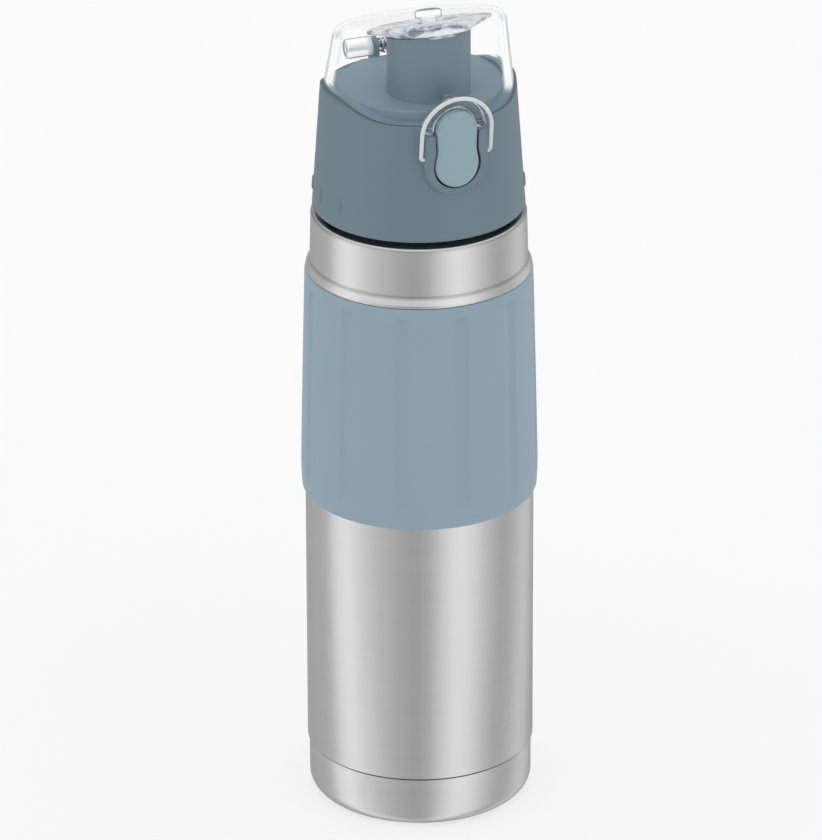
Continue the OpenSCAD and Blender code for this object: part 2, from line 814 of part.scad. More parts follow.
// Clear flip cover: a sloping dome with a latch tab, a hook's catch and two hinge knuckles
module cover() {
    lug_half = hinge_half + lug_gap;
    color(clear_colour) difference() {
        union() {
            difference() {
                union() {
                    intersection() {
                        union() {
                            cover_blank(0);
                            along_y(tab_y, tab_y + 2 * tab_wall) translate([0, arc_top_z])
                                circle(r = tab_out_r, $fn = round_fn);
                        }
                        above_rim(swing_gap);
                    }
                    tab_feet(0, 0);
                }
                cover_blank(cover_wall);
                along_y(-reach, -deck_r / 2) translate([0, arc_top_z])
                    circle(r = tab_in_r, $fn = round_fn);
                translate([-lug_half, 0, rim_front_z - past])
                    cube([2 * lug_half, reach, hinge_z - rim_front_z + past]);
            }
            for (side = [0, 1]) mirror([side, 0, 0])
                along_x(knuckle_r, knuckle_in, hinge_half, hinge_y, hinge_z);
            translate([-hook_w / 2, catch_y - catch_reach - cover_wall / 2, catch_z])
                cube([hook_w, catch_reach + cover_wall / 2, catch_h]);
        }
        along_x(lug_slot_r, -knuckle_in, knuckle_in, hinge_y, hinge_z);
        along_x(pin_r + pin_gap, -hinge_half - past, hinge_half + past, hinge_y, hinge_z);
        stem_hole();
    }
}

// Pointed seal of two long arcs, with a round pad for the spout's mouth and a shallow plug for its bore
module spout_seal() {
    depth = cover_wall + seat_gap / 2 + seal_t;
    color(seal_colour) difference() {
        union() {
            on_roof(depth) linear_extrude(seal_t) intersection() {
                translate([0, seal_arc_r - seal_half_w]) circle(r = seal_arc_r, $fn = round_fn);
                translate([0, seal_half_w - seal_arc_r]) circle(r = seal_arc_r, $fn = round_fn);
            }
            on_roof(depth + seal_pad_t) {
                cylinder(r = seal_pad_r, h = seal_pad_t + seal_t / 2, $fn = round_fn);
                translate([0, 0, -seal_plug_h])
                    cylinder(r = seal_plug_r, h = seal_plug_h + seal_pad_t, $fn = round_fn);
            }
        }
        stem_hole();
    }
}

// Stem through the roof and the seal, with a round head above the roof
module seal_retainer() {
    low = -(cover_wall + seal_t + seal_pad_t + seal_plug_h);
    color(clear_colour) on_roof(0) turned([
        [0, low, 0], [stem_r, low, 0.3], [stem_r, pin_gap, 0],
        [head_r, pin_gap, 0.4], [head_r, head_h, 0.9], [0, head_h, 0]
    ]);
}

echo(cover_spring_gap = least_gap(cover_spring_path, coil_wire));
echo(button_spring_gap = least_gap(button_spring_path, push_wire));

base_cup();
outer_shell();
bottom_plate();
vacuum_plug();
getter();
radiation_foil();
inner_flask();
grip_sleeve();
lid_gasket();
lid_core();
spout();
spout_o_ring();
lid_shell();
push_button();
button_spring();
lock_ring();
hinge_pin();
cover_spring();
cover();
spout_seal();
seal_retainer();
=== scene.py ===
"""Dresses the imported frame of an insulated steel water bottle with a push-button flip lid.

Sizes are in millimetres, with the origin at the centre of the foot. The button faces -Y and the hinge +Y.
"""

from __future__ import annotations

import logging
import math
from dataclasses import dataclass, field
from enum import Enum
from functools import partial
from typing import Callable, Iterable, Sequence

import bmesh
import bpy
from mathutils import Matrix, Vector

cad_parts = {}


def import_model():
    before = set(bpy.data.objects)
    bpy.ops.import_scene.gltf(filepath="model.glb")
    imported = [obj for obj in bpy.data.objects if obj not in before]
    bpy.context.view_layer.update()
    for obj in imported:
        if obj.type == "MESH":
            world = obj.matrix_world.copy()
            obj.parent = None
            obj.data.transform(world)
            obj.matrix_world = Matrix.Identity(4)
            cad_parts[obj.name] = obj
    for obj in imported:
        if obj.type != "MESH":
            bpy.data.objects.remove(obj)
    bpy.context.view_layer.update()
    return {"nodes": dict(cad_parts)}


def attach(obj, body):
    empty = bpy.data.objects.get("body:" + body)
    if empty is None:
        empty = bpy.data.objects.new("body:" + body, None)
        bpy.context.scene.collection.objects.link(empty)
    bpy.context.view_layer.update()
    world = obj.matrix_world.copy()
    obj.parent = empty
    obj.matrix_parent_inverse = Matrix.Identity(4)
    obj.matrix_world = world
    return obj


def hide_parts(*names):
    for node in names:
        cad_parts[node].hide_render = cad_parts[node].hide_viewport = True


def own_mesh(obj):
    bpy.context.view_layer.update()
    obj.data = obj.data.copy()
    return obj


LOG = logging.getLogger("bottle")
MM = 0.001
TURN = 2 * math.pi
Rule = Callable[[int, float], Vector]
Station = Callable[[float], Vector]
Point = tuple[float, float, float]
Colour = tuple[float, float, float]
ShadeRing = tuple[float, float, float]
Span = tuple[float, float]
Verts = list[bmesh.types.BMVert]
Edges = list[bmesh.types.BMEdge]


class Body(Enum):
    """Moving groups of the frame."""

    BOTTLE = "bottle"
    LID = "lid"
    COVER = "cover"
    BUTTON = "button"
    RING = "lock_ring"


class Carving(Enum):
    """Ways to work one shape with another."""

    CUT = "DIFFERENCE"
    JOIN = "UNION"


def ease(value: float) -> float:
    """Smooth step of a value from 0 to 1."""
    t = min(1.0, max(0.0, value))
    return t * t * (3 - 2 * t)


# Shading


class Signal:
    """A shader value that Python's operators work on."""

    def __init__(self, graph: Graph, socket: bpy.types.NodeSocket) -> None:
        """Keeps the socket and the graph that it is in."""
        self.graph = graph
        self.socket = socket

    def math(self, operation: str, *others: Signal | float) -> Signal:
        """Adds a Math node with this value first."""
        return self.graph.node("ShaderNodeMath", {"operation": operation}, dict(enumerate((self, *others))))

    def __add__(self, other: Signal | float) -> Signal:
        """Sum."""
        return self.math("ADD", other)

    __radd__ = __add__

    def __sub__(self, other: Signal | float) -> Signal:
        """Difference."""
        return self.math("SUBTRACT", other)

    def __rsub__(self, other: float) -> Signal:
        """A number less this value."""
        return self.graph.node("ShaderNodeMath", {"operation": "SUBTRACT"}, {0: other, 1: self})

    def __mul__(self, other: Signal | float) -> Signal:
        """Product."""
        return self.math("MULTIPLY", other)

    __rmul__ = __mul__

    def between(self, low: float, high: float) -> Signal:
        """Smooth share of the way from one value to another."""
        values = {"Value": self, "From Min": low, "From Max": high}
        return self.graph.node("ShaderNodeMapRange", {"interpolation_type": "SMOOTHSTEP"}, values)


class Graph:
    """Node tree of a finish or of the backdrop."""

    def __init__(self, tree: bpy.types.NodeTree) -> None:
        """Starts from an empty tree."""
        self.tree = tree
        tree.nodes.clear()

    def node(
        self,
        kind: str,
        settings: dict[str, object] | None = None,
        inputs: dict[str | int, object] | None = None,
        out: str | int = 0,
    ) -> Signal:
        """Adds a node.

        Args:
            kind: Type of the node.
            settings: Its own settings, set first. The stops of a ramp are (place, grey) pairs.
            inputs: Values or signals for its sockets.
            out: Output to go on with.

        Returns:
            The output as a signal.
        """
        made = self.tree.nodes.new(kind)
        for name, value in (settings or {}).items():
            if name == "stops":
                self._stops(made.color_ramp, value)
            else:
                setattr(made, name, value)
        for name, value in (inputs or {}).items():
            if isinstance(value, Signal):
                self.tree.links.new(value.socket, made.inputs[name])
            else:
                made.inputs[name].default_value = value
        return Signal(self, made.outputs[out]) if made.outputs else None

    @staticmethod
    def _stops(ramp: bpy.types.ColorRamp, stops: Sequence[tuple[float, float]]) -> None:
        """Sets the stops of a ramp from (place, grey) pairs."""
        ramp.interpolation = "EASE"
        while len(ramp.elements) < len(stops):
            ramp.elements.new(0.5)
        for element, (place, grey) in zip(ramp.elements, stops):
            element.position = place
            element.color = (grey, grey, grey, 1)

    def noise(self, scale: Sequence[float], detail: float = 2.0, seed: float = 0.0) -> Signal:
        """Noise in the piece's own coordinates, with a scale for each axis in turns per metre."""
        spot = self.node("ShaderNodeTexCoord", out="Object")
        inputs = {"Vector": spot, "Location": (seed,) * 3, "Scale": scale}
        spread = self.node("ShaderNodeMapping", None, inputs)
        return self.node("ShaderNodeTexNoise", None, {"Vector": spread, "Scale": 1.0, "Detail": detail})

    def along(self, axis: str) -> Signal:
        """Place along an axis of the piece's own coordinates, in millimetres."""
        spot = self.node("ShaderNodeTexCoord", out="Object")
        return self.node("ShaderNodeSeparateXYZ", None, {"Vector": spot}, out=axis) * (1 / MM)

    def tint(self, share: Signal, low: Signal | Sequence[float], high: Signal | Sequence[float]) -> Signal:
        """Mixes two colours by a share."""
        low, high = (c if isinstance(c, Signal) else (*c, 1) for c in (low, high))
        return self.node("ShaderNodeMix", {"data_type": "RGBA"}, {0: share, 6: low, 7: high}, out=2)

    def bump(self, height: Signal, strength: float, depth: float) -> Signal:
        """Normal from a height, with the depth in millimetres."""
        values = {"Height": height, "Strength": strength, "Distance": depth * MM}
        return self.node("ShaderNodeBump", None, values)

    def surface(self, inputs: dict[str | int, object]) -> Signal:
        """Principled surface with these sockets."""
        return self.node("ShaderNodeBsdfPrincipled", None, inputs)

    def unshaded(self, share: Signal, shader: Signal, air: Sequence[float]) -> Signal:
        """Shows a shader by a share over clear air, and only the air to the lamps."""
        lit = 1.0 - self.node("ShaderNodeLightPath", out="Is Shadow Ray")
        clear = self.node("ShaderNodeBsdfTransparent", None, {"Color": (*air, 1)})
        return self.node("ShaderNodeMixShader", None, {0: lit * share, 1: clear, 2: shader})

    def end(self, shader: Signal, kind: str = "ShaderNodeOutputMaterial") -> None:
        """Puts a shader on the output."""
        self.node(kind, None, {"Surface": shader})


@dataclass(frozen=True)
class Finish:
    """A finish, with the name of its material and a slot name, which is not used."""

    name: str
    slot: str
    colour: Colour
    roughness: float

    def shader(self, graph: Graph) -> Signal:
        """Shader of the finish, which each kind of finish gives."""
        raise NotImplementedError

    def material(self) -> bpy.types.Material:
        """The finish's material, made on first use."""
        label = f"{self.name}_finish"
        made = bpy.data.materials.get(label)
        if made is None:
            made = bpy.data.materials.new(label)
            made.use_nodes = True
            graph = Graph(made.node_tree)
            graph.end(self.shader(graph))
            made.diffuse_color = (*self.colour, 1)
        return made

    def shaded(self, share: float) -> Colour:
        """The colour, made lighter or darker."""
        red, green, blue = (min(1.0, share * c) for c in self.colour)
        return red, green, blue


@dataclass(frozen=True)
class BrushedSteel(Finish):
    """Steel brushed around the axis, in fine lines across long, slow bands.

    Each shade ring is painted shade, with a height, a half width and the share of the colour that is left in
    it.
    """

    line: float = 2600.0
    band: float = 240.0
    depth: float = 0.004
    shade_rings: tuple[ShadeRing, ...] = ()

    def shader(self, graph: Graph) -> Signal:
        """Metal whose colour, gloss and height follow the brush lines, darkened by painted shade in its shade
        rings.
        """
        lines = graph.noise((18, 18, self.line), 3.0)
        bands = graph.noise((9, 9, self.band), 2.0, seed=4.0)
        grain = 0.7 * lines + 0.3 * bands
        colour = graph.tint(grain, self.shaded(0.955), self.shaded(1.045))
        # Painted shade: the colour darkens in each ring, in the gap above the base cup, the crease under the
        # bead and on the shoulder under the lid.
        for height, half, share in self.shade_rings:
            off = (graph.along("Z") - height).math("ABSOLUTE")
            colour = graph.tint(off.between(0.3 * half, half), self.shaded(share), colour)
        return graph.surface({
            "Base Color": colour,
            "Metallic": 1.0,
            "Roughness": grain * 0.08 + (self.roughness - 0.04),
            "Normal": graph.bump(lines, 0.25, self.depth),
        })


@dataclass(frozen=True)
class Moulded(Finish):
    """Moulded plastic or rubber with a fine spark-eroded grain."""

    grain: float = 2400.0
    depth: float = 0.01
    sheen: float = 0.0
    mottle: float = 0.03

    def sockets(self, graph: Graph) -> dict[str, object]:
        """Values of the surface, with a slow mottle in its colour and a grain in its gloss and height."""
        mottle = graph.noise((55, 55, 40), 3.0)
        grain = graph.noise((self.grain,) * 3, 2.0, seed=1.0)
        share = 0.75 * mottle + 0.25 * grain
        return {
            "Base Color": graph.tint(share, self.shaded(1 - self.mottle), self.shaded(1 + self.mottle)),
            "Roughness": grain * 0.12 + mottle * 0.06 + (self.roughness - 0.09),
            "Sheen Weight": self.sheen,
            "Sheen Roughness": 0.4,
            "Normal": graph.bump(grain, 0.3, self.depth),
        }

    def shader(self, graph: Graph) -> Signal:
        """Plastic surface."""
        return graph.surface(self.sockets(graph))


@dataclass(frozen=True)
class LidMoulded(Moulded):
    """Plastic of the lid, lightened by a painted glow in the well under the clear cover, with a painted shade
    line along the rim's inner edge.
    """

    # Strength of the painted glow in the well.
    glow: float = 0.26
    well_r: float = 29.0
    well_z: float = 236.0
    spout_rise: Span = (9.0, 14.0)
    spout_share: float = 0.6
    shade_line_r: float = 30.3
    shade_line_off: Span = (0.25, 0.6)
    shade_line_rise: Span = (4.0, 5.5)
    line_shade: float = 0.5

    def sockets(self, graph: Graph) -> dict[str, object]:
        """Values of the plastic, with the painted glow in the well and the painted shade line at the rim."""
        found = super().sockets(graph)
        across = (graph.along("X").math("POWER", 2.0) + graph.along("Y").math("POWER", 2.0)).math("SQRT")
        # Painted light: the well under the cover glows by emission, less up the spout, to lighten its shade.
        rise = graph.along("Z") - self.well_z
        painted_glow = (1 - across.between(self.well_r, self.well_r + 1)) * rise.between(0.0, 2.0)
        painted_glow = painted_glow * (1 - self.spout_share * rise.between(*self.spout_rise))
        # Painted shade: a darker line along the rim's inner edge.
        off = (across - self.shade_line_r).math("ABSOLUTE").between(*self.shade_line_off)
        line = (1 - off) * rise.between(*self.shade_line_rise)
        colour = graph.tint(line, found["Base Color"], self.shaded(self.line_shade))
        lit = graph.tint(painted_glow, (0, 0, 0), colour)
        return found | {"Base Color": colour, "Emission Color": lit, "Emission Strength": self.glow}


@dataclass(frozen=True)
class Film(Finish):
    """Clear plastic drawn as a veil over what lies behind it, by how far its face turns away.

    The veil is painted reflection, a pale surface that glows. It grows from least to most over the span of
    turn, and its tone goes to the outline's, painted light and shade on its edges, over the span of rim. A
    roof's height and slope keep the veil off the roof, and a foot's height keeps it off the foot.
    """

    outline: Colour = (0.5, 0.5, 0.51)
    least: float = 0.0
    most: float = 1.0
    turn: Span = (0.42, 0.86)
    rim: Span = (0.74, 0.93)
    air: Colour = (1.0, 1.0, 1.0)
    glow: float = 0.3
    mottle: float = 0.05
    roof: float = 0.0
    roof_depth: Span = (1.8, 5.0)
    slope: float = 0.0
    foot: float = 0.0
    foot_rise: float = 3.0
    edge: Span = (0.84, 0.97)
    edge_most: float = 0.4

    def shader(self, graph: Graph) -> Signal:
        """A veil of painted reflection with a painted edge tone, over clear air."""
        flow = graph.noise((260, 260, 130), 2.0)
        facing = graph.node("ShaderNodeLayerWeight", None, {"Blend": 0.5}, out="Facing")
        facing = facing + (flow - 0.5) * self.mottle
        veil = facing.between(*self.turn)
        if self.roof:
            depth = self.roof - graph.along("Y") * math.tan(self.slope) - graph.along("Z")
            rise = graph.along("Z") - self.foot
            wall = veil * depth.between(*self.roof_depth) * rise.between(0.0, self.foot_rise)
            veil = wall.math("MAXIMUM", self.edge_most * facing.between(*self.edge))
        veil = veil * (self.most - self.least) + self.least
        # Painted reflection: the veil is a pale surface that glows by emission, and its edges take the
        # outline's tone as painted edge light and shade.
        tone = graph.tint(facing.between(*self.rim), self.colour, self.outline)
        pale = graph.surface({
            "Base Color": tone,
            "Roughness": flow * 0.1 + self.roughness,
            "Emission Color": tone,
            "Emission Strength": self.glow,
        })
        return graph.unshaded(veil, pale, self.air)


@dataclass(frozen=True)
class Silicone(Finish):
    """Milky silicone with streaks and bubbles, and a faint painted glow."""

    dark: Colour = (0.22, 0.26, 0.28)
    glow: float = 0.08

    def shader(self, graph: Graph) -> Signal:
        """Pale surface with dark streaks along X, a faint painted glow and a soft bump."""
        streaks = graph.noise((150, 420, 420), 4.0, seed=3.0)
        bubbles = graph.noise((420, 420, 420), 1.0, seed=5.0)
        share = (0.75 * streaks + 0.25 * bubbles).between(0.38, 0.53)
        colour = graph.tint(share, self.dark, self.colour)
        # Painted light: a faint glow by emission.
        return graph.surface({
            "Base Color": colour,
            "Roughness": bubbles * 0.2 + self.roughness,
            "Emission Color": colour,
            "Emission Strength": self.glow,
            "Normal": graph.bump(bubbles, 0.3, 0.1),
        })


@dataclass(frozen=True)
class DrawnMetal(Finish):
    """Bare metal with drawing marks and a slow tarnish."""

    mark: float = 1500.0

    def shader(self, graph: Graph) -> Signal:
        """Metal with a fine grain in its colour, gloss and height."""
        marks = graph.noise((self.mark, self.mark, self.mark / 6), 3.0)
        tarnish = graph.noise((90, 90, 90), 2.0, seed=2.0)
        share = 0.5 * marks + 0.5 * tarnish
        return graph.surface({
            "Base Color": graph.tint(share, self.shaded(0.86), self.shaded(1.06)),
            "Metallic": 1.0,
            "Roughness": share * 0.2 + (self.roughness - 0.1),
            "Normal": graph.bump(marks, 0.3, 0.006),
        })


# The steel's rings are painted shade: in the gap above the base cup, in the crease under the bead, and on the
# shoulder under the lid, where they also dim its highlight.
STEEL = BrushedSteel(
    "brushed_steel", "steel_body", (0.8, 0.8, 0.8), 0.29,
    shade_rings=((17.65, 0.55, 0.16), (185.7, 0.9, 0.7), (202.1, 1.4, 0.6)),
)
FLASK_STEEL = BrushedSteel("flask_steel", "steel_inner", (0.78, 0.78, 0.775), 0.36, line=1400.0)
# The lid's plastic carries a painted glow in its well and a painted shade line at its rim.
LID_PLASTIC = LidMoulded("lid_plastic", "lid_plastic", (0.146, 0.21, 0.252), 0.46)
BUTTON_PLASTIC = Moulded("button_plastic", "button_plastic", (0.273, 0.39, 0.435), 0.4)
GRIP_RUBBER = Moulded("grip_rubber", "grip_rubber", (0.27, 0.372, 0.442), 0.6, grain=1700.0, sheen=0.12)
GASKET_RUBBER = Moulded("gasket_rubber", "gasket_rubber", (0.075, 0.084, 0.093), 0.62)
# The tab's grey air tint is painted shade on what shows through it, and its pale veil on the rounded edges and
# feet is painted highlight.
TAB_CLEAR = Film(
    "tab_clear", "clear_plastic", (0.92, 0.93, 0.94), 0.15, outline=(0.84, 0.86, 0.87), least=0.05, most=0.95,
    turn=(0.5, 0.85), air=(0.7, 0.74, 0.76), mottle=0.5,
)
# The ring's dark outline is painted shade along the wire's edges, over a veil of painted reflection.
RING_CLEAR = Film(
    "ring_clear", "clear_plastic", (0.68, 0.72, 0.74), 0.15, outline=(0.14, 0.17, 0.19), least=0.75, most=0.92,
    turn=(0.35, 0.8), rim=(0.4, 0.8), glow=0.08, mottle=0.15,
)
# The stem's and knuckles' dark outline is painted shade along their edges, over a veil of painted reflection.
STEM_CLEAR = Film(
    "stem_clear", "clear_plastic", (0.93, 0.94, 0.95), 0.15, outline=(0.12, 0.13, 0.13), least=0.35, most=0.95,
    turn=(0.4, 0.75), rim=(0.45, 0.8), mottle=0.2,
)
SEAL_SILICONE = Silicone("seal_silicone", "seal_silicone", (0.7, 0.735, 0.76), 0.3)
SPRING_STEEL = DrawnMetal("spring_steel", "spring_steel", (0.62, 0.62, 0.63), 0.32)
SOLDER = DrawnMetal("solder", "solder", (0.5, 0.5, 0.52), 0.5)
GETTER_METAL = DrawnMetal("getter_metal", "getter_metal", (0.3, 0.29, 0.28), 0.62)
FOIL = DrawnMetal("foil", "foil", (0.86, 0.86, 0.87), 0.22, 300.0)


# Shaping


@dataclass(frozen=True)
class Corner:
    """Corner of an outline that is turned about Z."""

    r: float
    z: float
    rounding: float = 0.0


class Blank:
    """A mesh in the making, in millimetres."""

    def __init__(self) -> None:
        """Starts empty, with a layer that keeps each vertex's share of its loop."""
        self.bm = bmesh.new()
        self.share = self.bm.verts.layers.float.new("share")

    def spin(self, outline: Sequence[Corner], steps: int = 192, closed: bool = True) -> Verts:
        """Turns an outline about Z and rounds its corners.

        Args:
            outline: Corners in order. An open outline starts and ends on the axis.
            steps: Faces around.
            closed: Whether the last corner joins the first.

        Returns:
            The new vertices.
        """
        old = set(self.bm.verts)
        line = [self.bm.verts.new((c.r, 0, c.z)) for c in outline]
        ends = line[1:] + line[:1] if closed else line[1:]
        edges = [self.bm.edges.new(pair) for pair in zip(line, ends)]
        bmesh.ops.spin(
            self.bm, geom=line + edges, cent=(0, 0, 0), axis=(0, 0, 1), angle=TURN, steps=steps, use_merge=True
        )
        new = [v for v in self.bm.verts if v not in old]
        bmesh.ops.remove_doubles(self.bm, verts=new, dist=1e-4)
        count = len(outline)
        for i, corner in enumerate(outline):
            if corner.rounding > 0:
                self._round(outline[i - 1], corner, outline[(i + 1) % count], old)
        return [v for v in self.bm.verts if v not in old]

    def _round(self, before: Corner, corner: Corner, after: Corner, old: set[bmesh.types.BMVert]) -> None:
        """Rounds the ring of edges at one corner of a turned outline."""
        spot = Vector((corner.r, corner.z))
        one = (Vector((before.r, before.z)) - spot).normalized()
        two = (Vector((after.r, after.z)) - spot).normalized()
        half = one.angle(two) / 2

        def here(v: bmesh.types.BMVert) -> bool:
            """Whether a vertex lies on the corner's ring."""
            return v not in old and (Vector((v.co.xy.length, v.co.z)) - spot).length < 1e-3

        ring = [e for e in self.bm.edges if here(e.verts[0]) and here(e.verts[1])]
        self.bevel(ring, corner.rounding / math.tan(half), 3 + int(corner.rounding))

    def bevel(self, edges: Iterable[bmesh.types.BMEdge], width: float, segments: int = 3) -> None:
        """Rounds edges to a width on each side."""
        bmesh.ops.bevel(
            self.bm, geom=list(edges), offset=width, offset_type="OFFSET", segments=segments,
            profile=0.5, affect="EDGES", material=-1, clamp_overlap=True,
        )

    def loft(self, rings: int, count: int, rule: Rule) -> tuple[Edges, Edges]:
        """Draws a loop out ring by ring.

        Args:
            rings: Number of rings.
            count: Vertices in a ring.
            rule: Place of a vertex from its ring and its share of the way around.

        Returns:
            Edges of the first ring and of the last.
        """
        loop = bmesh.ops.create_circle(self.bm, cap_ends=False, segments=count, radius=1)["verts"]
        for i, v in enumerate(loop):
            v[self.share] = i / count
            v.co = rule(0, i / count)
        first = list({e for v in loop for e in v.link_edges})
        last = first
        for ring in range(1, rings):
            made = bmesh.ops.extrude_edge_only(self.bm, edges=last)["geom"]
            fresh = {v for v in made if isinstance(v, bmesh.types.BMVert)}
            for v in fresh:
                v.co = rule(ring, v[self.share])
            last = [e for e in made if isinstance(e, bmesh.types.BMEdge) and set(e.verts) <= fresh]
        return first, last

    def bridge(self, one: Sequence[bmesh.types.BMEdge], two: Sequence[bmesh.types.BMEdge]) -> None:
        """Joins two loops with faces."""
        bmesh.ops.bridge_loops(self.bm, edges=list(one) + list(two))

    def cap(self, *loops: Sequence[bmesh.types.BMEdge]) -> None:
        """Closes loops with one face each."""
        for loop in loops:
            bmesh.ops.edgeloop_fill(self.bm, edges=loop)

    def block(self, low: Sequence[float], high: Sequence[float], rounding: float) -> Verts:
        """Adds a block between two corners, with rounded edges."""
        old = set(self.bm.verts)
        verts = bmesh.ops.create_cube(self.bm, size=1)["verts"]
        span = Vector(high) - Vector(low)
        bmesh.ops.scale(self.bm, vec=span, verts=verts)
        bmesh.ops.translate(self.bm, vec=Vector(low) + span / 2, verts=verts)
        if rounding > 0:
            self.bevel({e for v in verts for e in v.link_edges}, rounding, 3)
        return [v for v in self.bm.verts if v not in old]

    def rod(self, start: Sequence[float], end: Sequence[float], radius: float, sides: int = 48) -> None:
        """Adds a round rod between two points."""
        way = Vector(end) - Vector(start)
        made = bmesh.ops.create_cone(
            self.bm, cap_ends=True, segments=sides, radius1=radius, radius2=radius, depth=way.length
        )["verts"]
        turn = way.to_track_quat("Z", "Y").to_matrix().to_4x4()
        place = Matrix.Translation(Vector(start) + way / 2) @ turn
        bmesh.ops.transform(self.bm, matrix=place, verts=made)

    def tube(self, path: Sequence[Vector], radius: float, keel: Vector, sides: int = 12) -> None:
        """Draws a round wire along a path.

        Args:
            path: Points of its middle line.
            radius: Half the wire's thickness.
            keel: A direction that the path never runs along.
            sides: Faces around the wire.
        """
        last = len(path) - 1

        def rule(ring: int, share: float) -> Vector:
            """Place of a point of the wire's skin."""
            way = (path[min(ring + 1, last)] - path[max(ring - 1, 0)]).normalized()
            side = way.cross(keel).normalized()
            rise = side.cross(way)
            angle = TURN * share
            return path[ring] + radius * (math.cos(angle) * side + math.sin(angle) * rise)

        self.cap(*self.loft(len(path), sides, rule))

    def move(self, verts: Iterable[bmesh.types.BMVert], matrix: Matrix) -> None:
        """Moves vertices by a matrix."""
        bmesh.ops.transform(self.bm, matrix=matrix, verts=list(verts))

    def outwards(self) -> None:
        """Merges doubles and points all faces outwards."""
        bmesh.ops.remove_doubles(self.bm, verts=self.bm.verts, dist=1e-5)
        bmesh.ops.recalc_face_normals(self.bm, faces=self.bm.faces)

    def carve(self, tool: Blank, how: Carving) -> None:
        """Cuts away or joins another closed shape, which is used up."""
        solids = []
        for blank in (self, tool):
            blank.outwards()
            mesh = bpy.data.meshes.new("solid")
            blank.bm.to_mesh(mesh)
            solids.append(bpy.data.objects.new("solid", mesh))
            bpy.context.scene.collection.objects.link(solids[-1])
        base, cutter = solids
        work = base.modifiers.new("carve", "BOOLEAN")
        work.operation = how.value
        work.solver = "EXACT"
        work.object = cutter
        bpy.context.view_layer.update()
        shaped = base.evaluated_get(bpy.context.evaluated_depsgraph_get())
        self.bm.free()
        tool.bm.free()
        self.bm = bmesh.new()
        self.bm.from_mesh(shaped.to_mesh())
        self.share = self.bm.verts.layers.float.get("share") or self.bm.verts.layers.float.new("share")
        for solid in solids:
            mesh = solid.data
            bpy.data.objects.remove(solid)
            bpy.data.meshes.remove(mesh)

    def drill(self, start: Sequence[float], end: Sequence[float], radius: float, sides: int) -> None:
        """Cuts a round hole between two points."""
        hole = Blank()
        hole.rod(start, end, radius, sides)
        self.carve(hole, Carving.CUT)

    def mill(self, low: Sequence[float], high: Sequence[float]) -> None:
        """Cuts a square pocket between two corners."""
        pocket = Blank()
        pocket.block(low, high, 0)
        self.carve(pocket, Carving.CUT)

    def piece(
        self, name: str, body: Body, finish: Finish, nodes: Sequence[str] = (), crease: float = 32.0
    ) -> bpy.types.Object:
        """Makes the finished piece of the shape.

        Args:
            name: Name of the piece.
            body: Group that it moves with.
            finish: Its finish.
            nodes: Frame nodes that it stands for.
            crease: Angle in degrees past which an edge stays sharp.

        Returns:
            The piece's object.
        """
        self.outwards()
        bmesh.ops.scale(self.bm, vec=(MM, MM, MM), verts=self.bm.verts)
        mesh = bpy.data.meshes.new(name)
        self.bm.to_mesh(mesh)
        self.bm.free()
        mesh.shade_smooth()
        mesh.set_sharp_from_angle(angle=math.radians(crease))
        mesh.materials.clear()
        mesh.materials.append(finish.material())
        piece = bpy.data.objects.new(name, mesh)
        bpy.context.scene.collection.objects.link(piece)
        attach(piece, body.value)
        if nodes:
            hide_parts(*nodes)
        LOG.info("%s: %d faces on %s", name, len(mesh.polygons), body.value)
        return piece


def dress(node: bpy.types.Object, finish: Finish) -> None:
    """Puts a finish on a frame node that is shown as it is."""
    node.data.materials.clear()
    node.data.materials.append(finish.material())
    LOG.info("%s: frame node in %s", node.name, finish.name)


# The bottle


@dataclass(frozen=True)
class Layout:
    """Lines that several sub-assemblies share."""

    lid_r: float = 33.65
    lid_z: float = 204.0
    draft: float = math.radians(3.95)
    rim_z: float = 246.6
    rim_dip: float = 4.5
    rim_low: float = math.radians(37)
    rim_high: float = math.radians(82)
    roof_z: float = 266.9
    slope: float = math.radians(16.5)
    spout_y: float = -8.758
    arc_top_z: float = 240.3
    arc_low_z: float = 229.3
    boss_y: float = -32.85
    hinge_y: float = 27.1585
    hinge_z: float = 247.5
    ring_y: float = -31.25
    ring_z: float = 232.0
    spring_z: float = 234.5

    def lid_r_at(self, z: float) -> float:
        """Radius of the lid's skirt at a height."""
        return self.lid_r - (z - self.lid_z) * math.tan(self.draft)

    def rim_at(self, y: float) -> float:
        """Height of the lid's rim at a distance along Y, low at the front and the rear."""
        rim_r = self.lid_r_at(self.rim_z)
        low = rim_r * math.cos(self.rim_low)
        high = rim_r * math.cos(self.rim_high)
        share = min(1.0, max(0.0, (low - abs(y)) / (low - high)))
        return self.rim_z - self.rim_dip * (1 + math.cos(math.pi * share)) / 2

    def on_roof(self) -> Matrix:
        """Place over the spout's axis, on the roof's outer face and square to it."""
        height = self.roof_z - self.spout_y * math.tan(self.slope)
        return Matrix.Translation((0, self.spout_y, height)) @ Matrix.Rotation(-self.slope, 4, "X")


LAYOUT = Layout()
# The cover's veil is painted reflection on its walls, edged in a grey painted shade.
COVER_FILM = Film(
    "cover_film", "clear_plastic", (0.93, 0.935, 0.94), 0.2, turn=(0.6, 0.77), rim=(0.72, 0.87),
    roof=LAYOUT.roof_z, slope=LAYOUT.slope, foot=244.0,
)


def around(radius: float, share: float, z: float, y: float = 0.0) -> Vector:
    """Point on a level circle, from its share of the way around."""
    angle = TURN * share
    return Vector((radius * math.cos(angle), y + radius * math.sin(angle), z))


def quarter(steps: int) -> list[float]:
    """Angles of a quarter turn, in equal steps."""
    return [math.pi / 2 * i / steps for i in range(steps + 1)]


